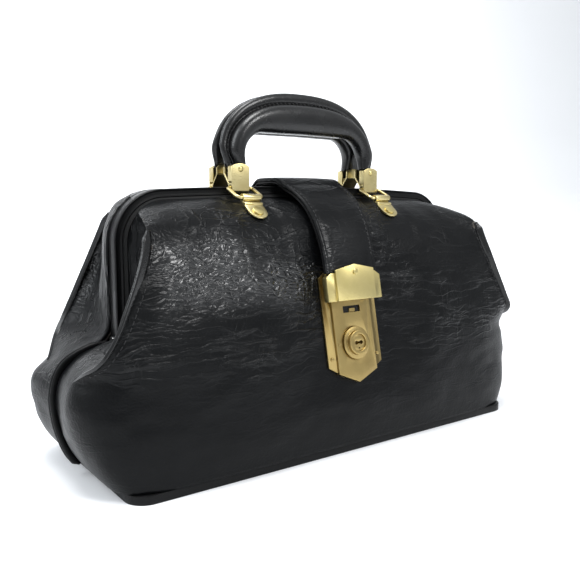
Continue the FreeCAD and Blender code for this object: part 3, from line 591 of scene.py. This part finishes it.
def wall_rows(side):
    """Rows of the wall from foot to shoulder, and of the rounded end below the crease."""
    half_cols = FRONT_COLS // 2 + 1
    heights = np.r_[np.linspace(5.0, FOLD_TOP, LOW_ROWS), np.linspace(FOLD_TOP, SHOULDER_Z, HIGH_ROWS)[1:]]
    fade = np.linspace(1, 0, SIDE_COLS)[:, None] ** 2
    rows, ends = [], []
    for z in heights:
        if z < PINCH_Z + PINCH_RISE:
            line = pouch_line(z, side)
            drawn = smooth(CREASE["front"], z)[0] - smooth(CREASE[side], z)[0]
            line[:, 0] += drawn * ease((z - PINCH_Z) / (PINCH_RISE / 2)) * ease(-line[:, 1] / 30)
            cut = int(np.argmax(line[:, 1] < -CUT_Y))
            left = resample(line[cut:], half_cols)
            if z > PINCH_Z:
                gone = ease((z - PINCH_Z) / PINCH_RISE)
                left = left * (1 - gone) + resample(upper_line(z, side), half_cols) * gone
            if z <= FOLD_TOP:
                end = resample(line[:cut + 1], SIDE_COLS)[::-1]
                ends.append(end + (left[0] - end[0]) * fade)
        else:
            left = resample(upper_line(z, side), half_cols)
        rows.append(np.vstack([left, left[-2::-1] * (-1, 1, 1)]))       # the right half mirrors it
    return rows, ends


def shoulder_rows(side, top_row):
    """Rows from the wall's top over to the frame, and each one's share of the frame's motion."""
    part = top_row[:, 0] / abs(top_row[0, 0])
    left_over = top_row - shoulder_row(part, 0.0, side)
    levels = np.r_[np.linspace(0, CREASE_LEVEL, CREASE_ROWS)[1:],
                   np.linspace(CREASE_LEVEL, 1, SIDE_COLS)[1:]]
    rows = [shoulder_row(part, t, side) + left_over * (1 - ease(t / 0.4)) for t in levels]
    return rows, ease(levels / 0.85)


def wing_rows(side, crease_line, crease_weight, rim, foot):
    """The wing, from the crease to the seam along the frame's arm, and its share of the motion."""
    share = np.linspace(0, 1, SIDE_COLS)
    wrap = WRAP[side]
    along = np.minimum(share / 0.8, 1) if wrap else share
    rim_bow = rim - wing_line(rim[0], rim[-1], wrap, SIDE_COLS)
    foot_bow = foot - wing_line(foot[0], foot[-1], wrap, SIDE_COLS)
    top_z = crease_line[-1][2]
    crease_top = CREASE[side][0][0]
    table_top = SEAMS[side][-1][0]
    wing, weight = [], []
    for a, at_crease in zip(crease_line, crease_weight):
        level = FOLD_TOP + (a[2] - FOLD_TOP) * (table_top - FOLD_TOP) / (crease_top - FOLD_TOP)
        seam_x, seam_y, seam_z = smooth(SEAMS[side], level)
        b = np.array([-seam_x, -seam_y, seam_z])
        if len(wing) == 0:
            b = foot[-1]
        if len(wing) == len(crease_line) - 1:
            b = rim[-1]
        near_foot = 1 - ease((a[2] - FOLD_TOP) / 9)
        near_rim = 1 - ease((top_z - a[2]) / 5)
        depth = float(smooth(FOLDS[side], level))
        skew = 0.6 + 0.4 * float(ease((125 - level) / 40))
        fold = depth * np.sin(math.pi * along ** skew) * (1 - near_foot)
        line = wing_line(a, b, wrap, SIDE_COLS) + fold[:, None] * (1, 0, 0)
        wing.append(line + foot_bow * near_foot + rim_bow * near_rim)
        at_arm = float(ease((a[2] - 71) / 14))
        weight.append(at_crease + (at_arm - at_crease) * ease(along))
    return np.array(wing), np.array(weight)


def join_patches(patches):
    """One surface from grids of (points, weights, whether on the wing, whether turned over)."""
    points = np.vstack([grid.reshape(-1, 3) for grid, *_ in patches])
    weights = np.concatenate([weight.ravel() for _, weight, *_ in patches])
    on_wing = np.concatenate([np.full(weight.size, wing) for _, weight, wing, _ in patches])
    faces, start = [], 0
    for grid, _, _, turned in patches:
        these = grid_faces(grid.shape[0], grid.shape[1], start)
        faces += [face[::-1] for face in these] if turned else these
        start += grid.shape[0] * grid.shape[1]
    _, keep, back = np.unique(np.round(points, 2), axis=0, return_index=True, return_inverse=True)
    back = back.ravel()
    joined = [tuple(dict.fromkeys(int(back[v]) for v in face)) for face in faces]
    joined = [face for face in joined if len(face) > 2]
    return points[keep], joined, weights[keep], on_wing[keep]


def half_shell(side):
    """Leather of the front or rear half as one surface, and its share of the frame's motion."""
    low_rows, ends = wall_rows(side)
    high_rows, high_weight = shoulder_rows(side, low_rows[-1])
    rows = np.array(low_rows + high_rows)
    weight = np.zeros(rows.shape[:2])
    weight[len(low_rows):] = high_weight[:, None]
    first = LOW_ROWS - 1                            # row at the foot of the crease
    top = len(low_rows) + CREASE_ROWS - 2           # row at the crease's top
    crease_line = rows[first:top + 1, 0]
    wing, wing_weight = wing_rows(side, crease_line, weight[first:top + 1, 0], rows[top:, 0], ends[-1])
    ends = np.array(ends)
    still = np.zeros(ends.shape[:2])
    flip = (-1, 1, 1)
    surface = join_patches([(rows, weight, False, False),
                            (wing, wing_weight, True, True), (wing * flip, wing_weight, True, False),
                            (ends, still, False, True), (ends * flip, still, False, False)])
    crease = {tuple(np.round(row[c], 2)): row[c][2] for row in rows[first:top + 1]
              for c in (0, FRONT_COLS - 1)}
    return *surface, crease, crease_line


CHAPE_X = 57.0           # the handles' feet and chapes stand at this distance from the middle
LEATHER_SEEDS = {"front": (3.0, 7.0, 1.0), "rear": (11.0, 5.0, 9.0)}
# pieces of each half: ending, depths of its two faces, material, slot and the parts it replaces
LAYERS = [("leather", 0, -1.9, LEATHER, "body_leather",
           {"front": ("front_panel", "front_shoulder"), "rear": ("rear_panel", "rear_shoulder")}),
          ("lining", -2.6, -3.4, LINING, "lining", {"front": ("lining",), "rear": ()})]


def slack(side, points, free, on_wing):
    """Sags and folds of a leather wall, as distances out from it."""
    x, y, z = np.abs(points[:, 0]), points[:, 1], points[:, 2]
    seed = np.array(LEATHER_SEEDS[side])
    sag = crumple(points, (0.022, 0.03, 0.035), seed) * 1.5
    sag += crumple(points, (0.06, 0.07, 0.12), seed + 20) * 0.55
    pleat = 1 - np.abs(crumple(points, (0.17, 0.21, 0.022), seed + 40)) * 4
    pleat = np.clip(pleat, 0, 1) ** 2 * np.where(on_wing, 1.0, 0)
    near_arm = ease((40 + y) / 20) * ease((z - 72) / 12) * ease((-13 - y) / 6)
    soft = ease((z - 8) / 20) * np.where(free > 0.4, 1, 0) * ease((-2 - y) / 10)
    behind_lock = (1 - ease((x - 24) / 16)) * ease((z - 30) / 10) * (1 - ease((z - 120) / 12))
    away_from_lock = 1 - behind_lock * (1 if side == "front" else 0)
    under_chape = ease((20 - np.abs(x - CHAPE_X)) / 8) * ease((y + 54) / 8) * ease((-12 - y) / 8)
    sag = sag * soft * away_from_lock * (1 - under_chape) - 1.3 * under_chape
    return sag + pleat * near_arm * 1.3


def dress_half(side):
    """Leather and lining of one half."""
    points, faces, weights, on_wing, crease, crease_line = half_shell(side)
    free = np.full(len(points), 0.5)
    free[np.unique(open_edges(faces))] = 0
    for v, p in enumerate(np.round(points, 2)):
        height = crease.get(tuple(p))
        if height is not None:
            free[v] = 0.5 * float(1 - ease((height - FOLD_TOP) / 8))
    points = relax(points, faces, free, 10)

    normals = normals_of(points, faces)
    if normals[np.argmin(points[:, 1])][1] > 0:
        faces = [face[::-1] for face in faces]
        normals = -normals
    points = points + normals * slack(side, points, free, on_wing)[:, None]
    normals = normals_of(points, faces)
    # layers thin out towards the crease, where the leather is folded flat on itself
    creases = np.vstack([crease_line, crease_line * (-1, 1, 1)])
    near = np.min(np.linalg.norm(points[:, None] - creases[None], axis=2), axis=1)
    full = np.clip((near - 3) / 40, 0.02, 1)

    for ending, outer, inner, material, slot, stands_for in LAYERS:
        sheet, sheet_faces = thicken(points, faces, normals, outer * full, inner * full)
        if side == "rear":
            sheet, sheet_faces = sheet * FLIP[side], [face[::-1] for face in sheet_faces]
        layer = make(f"{side}_{ending}", sheet, sheet_faces, material)
        blend(layer)
        if stands_for[side]:
            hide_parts(*stands_for[side])
    return points, faces, crease_line


SKINS = {side: dress_half(side) for side in SIDES}
TREES = {side: BVHTree.FromPolygons([Vector(p.tolist()) for p in points], faces)
         for side, (points, faces, _) in SKINS.items()}


def onto(side, path, lift):
    """Points of a path moved onto the leather, and the way out of it at each."""
    nearest = [TREES[side].find_nearest(Vector(p.tolist()))[:2] for p in path]
    places, outs = np.array(nearest).transpose(1, 0, 2)
    return places + outs * lift, outs


FIN_PROFILE = [(-1.3, -2.8), (-1.1, -1.0), (-1.0, 0.2), (-1.0, 0.7), (-0.8, 0.95), (-0.4, 1.0),
               (0, 0.9), (0.4, 1.0), (0.8, 0.95), (1.0, 0.7), (1.0, 0.2), (1.1, -1.0), (1.3, -2.8)]


def fin(side, sign):
    """The pinched fold that stands along the crease, and its stitches."""
    line = flow(SKINS[side][2][::3], 100)
    z = line[:, 2]
    aside, ahead = (0.2, 0.3) if side == "front" else (-0.4, -0.1)
    high = ease((z - 75) / 50)
    out = unit(np.stack([-0.75 - aside * high, -0.8 + ahead * high, 0 * z + 0.05], 1))
    fading = ease((z - z[-1] + 6) / 6)
    tall = (2.9 if side == "front" else 1.8) * ease((z - FOLD_TOP) / 16) * (1 - fading * 0.85)
    thick = (0.95 * ease((z - 64) / 12) + 0.15) * (1 - fading * 0.6)
    _, across, up = frames(line, out)
    loops = [[line[k] + across[k] * a * thick[k] + up[k] * (h * tall[k] if h > 0 else h)
              for a, h in FIN_PROFILE] for k in range(len(line))]
    end = "left" if sign > 0 else "right"
    flip = FLIP[side] * (sign, 1, 1)
    fold = loft(f"{side}_{end}_crease_fin", np.array(loops) * flip, EDGE)
    blend(fold)

    row = line[z > 72] + (4.9, -0.4, 0)
    places, outs = onto(side, row, 0.1)
    thread = stitches(f"{side}_{end}_crease_stitches", places * flip, outs * flip, 3.6, 2.5, 0.36)
    blend(thread)


for side in SIDES:
    for sign in (1, -1):
        fin(side, sign)


# ---- end welts ----
WELT_PROFILE = [(-2.3, -1.0), (-2.4, 2.4), (-2.1, 3.3), (-1.5, 3.6), (-1.0, 3.35), (-0.8, 2.9),
                (-0.6, 3.5), (0, 4.1), (0.6, 3.5), (0.8, 2.9), (1.0, 3.35), (1.5, 3.6),
                (2.1, 3.3), (2.4, 2.4), (2.3, -1.0)]


def end_welt(end, sign):
    """Strip with a piped middle, sewn over the seam where front and rear meet at an end."""
    seam = flow([(-length, 0, z) for z, length in END if z > 5], 80)
    out = np.cross(unit(np.gradient(seam, axis=0)), (0, 1, 0))
    out = out * np.sign(-out[len(out) // 3, 0])
    share = np.linspace(0, 1, len(seam))
    tall = 1 - 0.35 * ease((share - 0.9) / 0.1) - 0.5 * ease((0.03 - share) / 0.03)
    loops = [[seam[k] + np.array((0, y, 0)) + out[k] * h * tall[k] for y, h in WELT_PROFILE]
             for k in range(len(seam))]
    strip = loft(end + "_welt_strip", np.array(loops) * (sign, 1, 1), TRIM)
    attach(strip, "body")
    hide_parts(end + "_end_welt")


end_welt("left", 1)
end_welt("right", -1)


# ---- frame coverings ----
ARM_X, ARM_FOOT, CORNER_Z, TOP_RISE = 136.0, 81.5, 140.5, 2.7


def arch_line():
    """The frame's inner line from left foot to right foot, and the way out of it, in X and Z."""
    points = [(-ARM_X, z, -1, 0) for z in np.linspace(ARM_FOOT, CORNER_Z, 30)]
    for a in np.radians(np.linspace(180, 90, 26)[1:-1]):
        points.append((-CORNER_X + CORNER_R * math.cos(a), CORNER_Z + CORNER_R * math.sin(a),
                       math.cos(a), math.sin(a)))
    radius = (CORNER_X ** 2 + TOP_RISE ** 2) / (2 * TOP_RISE)
    for x in np.linspace(-CORNER_X, 0, 40):
        points.append((x, CORNER_Z + CORNER_R + TOP_RISE - radius + math.sqrt(radius ** 2 - x * x),
                       x / radius, math.sqrt(1 - (x / radius) ** 2)))
    left = np.array(points)
    return np.vstack([left, left[-2::-1] * (-1, 1, -1, 1)])


# distance out from the frame's inner line, and ahead of the middle
COVER_PROFILE = [(0.7, -0.12), (0.6, -0.8), (0.6, -7.9), (0.7, -8.6), (1.1, -8.98), (1.6, -8.7),
                 (1.9, -8.25), (2.3, -8.15), (4.0, -8.15), (4.5, -8.25), (4.85, -8.7), (5.35, -8.98),
                 (5.8, -8.6), (6.0, -7.9), (5.9, -0.8), (5.6, -0.12)]
# the strip of painted shade in the gap under the covering uses the same two columns
SHADOW_GAP_PROFILE = [(-2.8, -9.6), (-1.4, -10.5), (0.2, -9.6), (0.9, -7.5), (0.9, -4), (-2.8, -4)]


def along_frame(side, ending, profile, foot, material, sharp):
    """A profile carried along one half of the frame, above the height of its foot."""
    loops = np.array([[(x + nx * o, y, z + nz * o) for o, y in profile]
                      for x, z, nx, nz in arch_line() if z > foot])
    piece = loft(f"{side}_frame_{ending}", loops * FLIP[side], material, sharp)
    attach(piece, side + "_frame")
    return piece


for side in SIDES:
    # leather wrapped round the steel bar, with a raised bead along each edge of its face
    cover = along_frame(side, "leather", COVER_PROFILE, 0, TRIM, 60)
    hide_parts(side + "_frame_cover")
    # a strip of painted shade inside the frame, filling the shadowed gap where the body leather is turned
    # in under the covering
    along_frame(side, "shadow_gap", SHADOW_GAP_PROFILE, 84, PAINTED_SHADE, 40)


# ---- handles ----
GRIP_HALF, GRIP_FOOT, GRIP_RISE, GRIP_POWER = 67.5, 190.6, 49.9, 2.4
GRIP_NARROWING = 3.7                     # how far each leg draws in towards its foot
GRIP_IN_HALF, GRIP_IN_R, GRIP_IN_TOP = 50.6, 16.0, 211.8
GRIP_FACE, FLANGE_SEAM = -14.1, -6.05    # how far ahead the rolled front and the seam lie
FERRULE_MIDDLE, FERRULE_BOW, FERRULE_BOW_R = (57.0, -9.8), 178.5, 11.9


def grip_lines(turn):
    """Outer and inner edge of the handle, in X and Z, at angles from the right foot over the top."""
    across, up = np.cos(turn), np.sin(turn)
    x = GRIP_HALF * np.sign(across) * np.abs(across) ** (2 / GRIP_POWER)
    z = GRIP_FOOT + GRIP_RISE * up ** (2 / GRIP_POWER)
    x = np.sign(x) * (np.abs(x) - GRIP_NARROWING * (1 - ease((z - 188) / 16)))
    share = smooth([(0, 0), (0.10, 0.13), (0.30, 0.40), (0.40, 0.58), (0.5, 1)],
                   np.minimum(turn, math.pi - turn) / math.pi)
    bend_z = GRIP_IN_TOP - 0.3 - GRIP_IN_R
    quarter = [(GRIP_IN_HALF, 190.1), (GRIP_IN_HALF, bend_z)]
    quarter += [(GRIP_IN_HALF - GRIP_IN_R * (1 - math.cos(a)), bend_z + GRIP_IN_R * math.sin(a))
                for a in np.radians(np.linspace(0, 90, 20)[1:])]
    quarter = np.array(quarter + [(0, GRIP_IN_TOP)])
    run = run_along(quarter)
    run = run / run[-1]
    inner_x, inner_z = np.interp(share, run, quarter[:, 0]), np.interp(share, run, quarter[:, 1])
    inner_x = np.where(turn < math.pi / 2, inner_x, -inner_x)
    return np.stack([x, z], 1), np.stack([inner_x, inner_z], 1)


def leg_end(first):
    """The end of one leg: it follows the ferrule's bowed edge, then slips in behind it."""
    middle_x, middle_y = FERRULE_MIDDLE
    centre = np.array((math.copysign(middle_x, first[0, 0]), middle_y, 0))
    aside = np.clip(first[:, 0] - centre[0], -7, 7)
    bow = FERRULE_BOW + np.sqrt(FERRULE_BOW_R ** 2 - aside ** 2)
    loops = []
    for share, rise in ((0.78, -5), (0.78, 0), (0.96, 0.2)):
        loop = centre + (first - centre) * share
        loop[:, 2] = bow + rise
        loops.append(loop)
    return loops


def grip_section(flange, reach):
    """The handle's section, as (distance in from the outer edge, ahead of the middle)."""
    middle, half = (flange + 0.6 + reach) / 2, (reach - flange - 0.6) / 2
    section = [(1.1, -1.5), (0.3, -2.4), (0, -3.7), (0.35, -5.1), (1.3, -6.1), (flange * 0.5, -6.7),
               (flange - 1.6, -6.6), (flange - 0.6, -6.0), (flange, -5.5), (flange + 0.5, -6.0)]
    for a in np.radians(np.linspace(176, 4, 15)):
        section.append((middle + half * np.sign(np.cos(a)) * abs(np.cos(a)) ** 0.85,
                        GRIP_FACE + 7.5 - 7.5 * abs(np.sin(a)) ** 0.75))
    section += [(reach - 0.1, -5.2), (reach - 0.8, -3.5), (reach - 2.2, -2.2), (reach - 4.5, -1.5),
                (reach * 0.5, -1.2), (3.2, -1.25)]
    return section


def grip(side):
    """Padded handle: a fat rolled front, a flat back, and a stitched flange round the outside."""
    turn = np.linspace(0.006, math.pi - 0.006, 181)
    outer, inner = grip_lines(turn)
    loops, seam = [], []
    for o, i, flange in zip(outer, inner, 5.4 + 2.2 * np.sin(turn) ** 2):
        reach = np.linalg.norm(i - o)
        across = (i - o) / reach
        depth = 0.72 + 0.28 * float(ease(((o[1] + i[1]) / 2 - 190) / 18))
        *loop, sewn = [(o[0] + across[0] * q, GRIP_FACE + (y - GRIP_FACE) * depth, o[1] + across[1] * q)
                       for q, y in (*grip_section(flange, reach), (flange - 0.5, FLANGE_SEAM))]
        loops.append(loop)
        seam.append(sewn)
    loops = np.array(loops)
    loops = np.array([*leg_end(loops[0]), *loops, *leg_end(loops[-1])[::-1]])
    pad = loft(side + "_grip_leather", loops * FLIP[side], GRIP_LEATHER)
    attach(pad, side + "_handle")
    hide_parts(side + "_grip", side + "_grip_core")
    row = np.array(seam)[3:-3] * FLIP[side]
    thread = stitches(side + "_grip_stitches", row, FLIP[side] * (0, -1, 0), 3.3, 2.3, 0.4)
    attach(thread, side + "_handle")


for side in SIDES:
    grip(side)


# ---- strap ----
# the strap's underside from its rear end to its front end, in Y and Z
STRAP_PATH = [(44.5, 153.2), (39, 159), (33, 164), (27, 167.8), (21, 171.4), (16.5, 175.4),
              (12.3, 178.0), (6, 178.3), (0, 178.3), (-6, 178.2), (-10.5, 177.6), (-14.5, 175.8),
              (-19, 173.2), (-25, 170.6), (-31, 167.2), (-36.8, 162.9), (-42, 157.5),
              (-46.3, 151.2), (-49.8, 144.5), (-52.7, 137.5), (-55.8, 127.8), (-57.9, 119.0)]
STRAP_TOP, STRAP_CROWN, STRAP_SEAM = 4.4, 0.55, 3.3     # upper face, its bulge, and its stitches' inset


def strap_frame():
    """Line of the strap's underside, the way out of it, and its half width, back to front."""
    line = flow([(0, y, z) for y, z in STRAP_PATH], 150)
    tangent = unit(np.gradient(line, axis=0))
    out = np.cross((1, 0, 0), tangent)
    out = out * np.sign(out[len(out) // 2, 2])
    half = 26.5 - 4.7 * np.clip((-line[:, 1] - 14) / 42, 0, 1)
    return line, out, half


def strap_layer(name, low, high, narrower, material, crown):
    """One layer of the strap, between two heights above its underside, bulging by crown."""
    line, out, half = strap_frame()
    loops = []
    for p, n, w in zip(line, out, half - narrower):
        edge = [(-w + 0.1, 0.35), (-w + 0.45, 0.8), (-w + 1.1, 1.0), (-w + 2.6, 1.0), (-w + 3.3, 0.86),
                (-w + 4.0, 1.0)]
        section = edge + [(w * k / 6, 1.0) for k in range(-4, 5)] + [(-a, h) for a, h in edge[::-1]]
        section += [(w - 0.45, 0.08), (w * 0.5, 0.0), (0, 0.0), (-w * 0.5, 0.0), (-w + 0.45, 0.08)]
        loops.append([p + np.array((x, 0, 0)) + n * (low + h * (high - low) - crown * (x / w) ** 2)
                      for x, h in section])
    layer = loft(name, loops, material)
    blend(layer)
    return layer


def strap():
    """The strap's two layers and the rows of stitches along its edges."""
    outer = strap_layer("strap_leather_outer", 1.8, STRAP_TOP, 0.0, STRAP_LEATHER, STRAP_CROWN)
    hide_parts("strap", "strap_rear_end")
    inner = strap_layer("strap_leather_inner", 0.0, 1.75, 0.35, TRIM, 0.3)
    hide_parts("strap_lining")
    line, out, half = (a[4:140] for a in strap_frame())
    aside = half - STRAP_SEAM
    row = line + out * (STRAP_TOP - STRAP_CROWN * (aside / half) ** 2 - 0.3)[:, None]
    for end, sign in (("left", -1), ("right", 1)):
        edge = row + aside[:, None] * np.array((sign, 0, 0))
        thread = stitches(f"strap_{end}_stitches", edge, out, 3.4, 2.4, 0.36)
        blend(thread)


strap()


# ---- metal and small parts ----
def finish_node(name, material, bevel):
    """Softens a fixed part's edges and gives it its surface, leaving its shape where it is."""
    obj = frame["nodes"][name]
    obj.data.materials.clear()
    obj.data.materials.append(material)
    weld = obj.modifiers.new("weld", "WELD")
    weld.merge_threshold = 2e-6
    rim = obj.modifiers.new("edges", "BEVEL")
    rim.width, rim.segments, rim.limit_method = bevel * MM, 2, "ANGLE"
    rim.angle_limit = math.radians(32)
    rim.harden_normals = True
    obj.data.polygons.foreach_set("use_smooth", [True] * len(obj.data.polygons))


SURFACES = {
    BRASS: ("chape", "ring", "ferrule"),
    LOCK_BRASS: ("lock_case", "cylinder_housing", "key_plug", "lock_rivets", "window_plate"),
    HASP_BRASS: ("hasp_plate", "hasp_rivet", "hasp_staple", "chape_rivets", "ferrule_rivets"),
    STEEL: ("frame_bar", "hinge_pin", "lock_housing", "lock_bolt", "bolt_spring"),
    TRIM: "base_panel",
    BOARD: "base_board",
    LINING: "inner_pocket",
}
for name in frame["nodes"]:
    for material, endings in SURFACES.items():
        if name.endswith(endings):
            finish_node(name, material, 1.2 if name == "base_panel" else 0.22)


# outline of the painted shade in the lock's window: across, and up the lock's face
WINDOW_SHADE_OUTLINE = [(-8, 46), (-1.6, 46), (-1.6, 47.1), (3.4, 47.1), (3.4, 46), (8, 46), (8, 51.2), (-8, 51.2)]


def window_shade_plate():
    """Plate of painted shade behind the lock's window, standing in for the shadow inside its slot; notched
    so that brass shows from the tab down.
    """
    up = np.array((0, math.sin(LEAN), math.cos(LEAN)))
    out = np.array((0, -math.cos(LEAN), math.sin(LEAN)))
    foot = np.array((0, LOCK_Y, LOCK_Z))
    loops = [[foot + up * s + out * depth + (x, 0, 0) for x, s in WINDOW_SHADE_OUTLINE] for depth in (-1.45, -1.3)]
    plate = loft("lock_window_painted_shade", loops, PAINTED_SHADE, sharp=30)
    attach(plate, "body")


window_shade_plate()


# ---- stage and camera ----
def floor():
    """A pale floor that curves up into a wall far behind the bag."""
    n = Nodes("pale_floor")
    n.set(Base_Color=(0.86, 0.87, 0.885, 1), Roughness=0.6,
          Emission_Color=(0.93, 0.96, 1.0, 1), Emission_Strength=0.10)
    profile = [(-2.5, 0), (1.3, 0), (1.7, 0.06), (2.0, 0.25), (2.2, 0.6), (2.3, 1.2), (2.3, 4.0)]
    points = [(x, y, z) for x in (5000, -5000) for y, z in np.array(profile) / MM]
    make("floor", points, grid_faces(2, len(profile)), n.owner)


def lamp(name, place, target, size, power, colour=(1, 1, 1)):
    """A rectangular lamp that faces its target; places in metres, power in watts."""
    data = bpy.data.lights.new(name, "AREA")
    data.shape, data.size, data.size_y = "RECTANGLE", *size
    data.energy, data.color = power, colour
    obj = bpy.data.objects.new(name, data)
    obj.location = place
    obj.rotation_mode = "QUATERNION"
    obj.rotation_quaternion = (Vector(target) - Vector(place)).to_track_quat("-Z", "Y")
    bpy.context.scene.collection.objects.link(obj)


def world():
    """A pale room: bright behind and above, with a softer bright wall that the lock faces."""
    n = Nodes("pale_room", bpy.data.worlds)
    place = n.add("ShaderNodeTexCoord").outputs["Generated"]
    shares = []
    for towards, low, high, dim, bright in (((-0.58, 0.81, 0.75), -0.9, 0.9, 0.10, 1.05),
                                            ((0.60, -0.79, 0.15), 0.45, 0.95, 0.0, 0.60)):
        facing = n.add("ShaderNodeVectorMath", operation="DOT_PRODUCT")
        n.put(facing.inputs[0], place)
        n.put(facing.inputs[1], towards)
        shares.append((n.span(facing.outputs["Value"], low, high, dim, bright), 1.0))
    back = n.tree.nodes["Background"]
    n.put(back.inputs["Color"], (0.94, 0.97, 1.0, 1))
    n.put(back.inputs["Strength"], n.total(*shares))
    bpy.context.scene.world = n.owner


def camera():
    """A camera at the front left, a little above the bag's middle."""
    data = bpy.data.cameras.new("camera")
    data.lens, data.sensor_width, data.clip_start = 42.78, 36.0, 0.01
    obj = bpy.data.objects.new("camera", data)
    right, up = Vector((0.8116, -0.5842, 0.0)), Vector((0.07348, 0.10208, 0.99205))
    turn = Matrix((right, up, right.cross(up))).transposed().to_4x4()
    obj.matrix_world = Matrix.Translation((-0.29748, -0.40441, 0.16489)) @ turn
    bpy.context.scene.collection.objects.link(obj)
    bpy.context.scene.camera = obj


floor()
lamp("window", (-1.3, 0.5, 1.3), (0, 0, 0.1), (1.0, 1.0), 16, (0.93, 0.97, 1.0))
lamp("ceiling", (-0.2, 0.0, 1.7), (0, 0, 0.1), (0.75, 0.75), 22)
lamp("glint", (0.35, -1.1, 1.0), (-0.09, -0.05, 0.13), (0.35, 0.35), 9)
lamp("backdrop", (0.6, 0.9, 1.6), (1.2, 2.2, 0.7), (1.6, 1.0), 45)
world()
camera()
bpy.context.scene.view_settings.view_transform = "Standard"
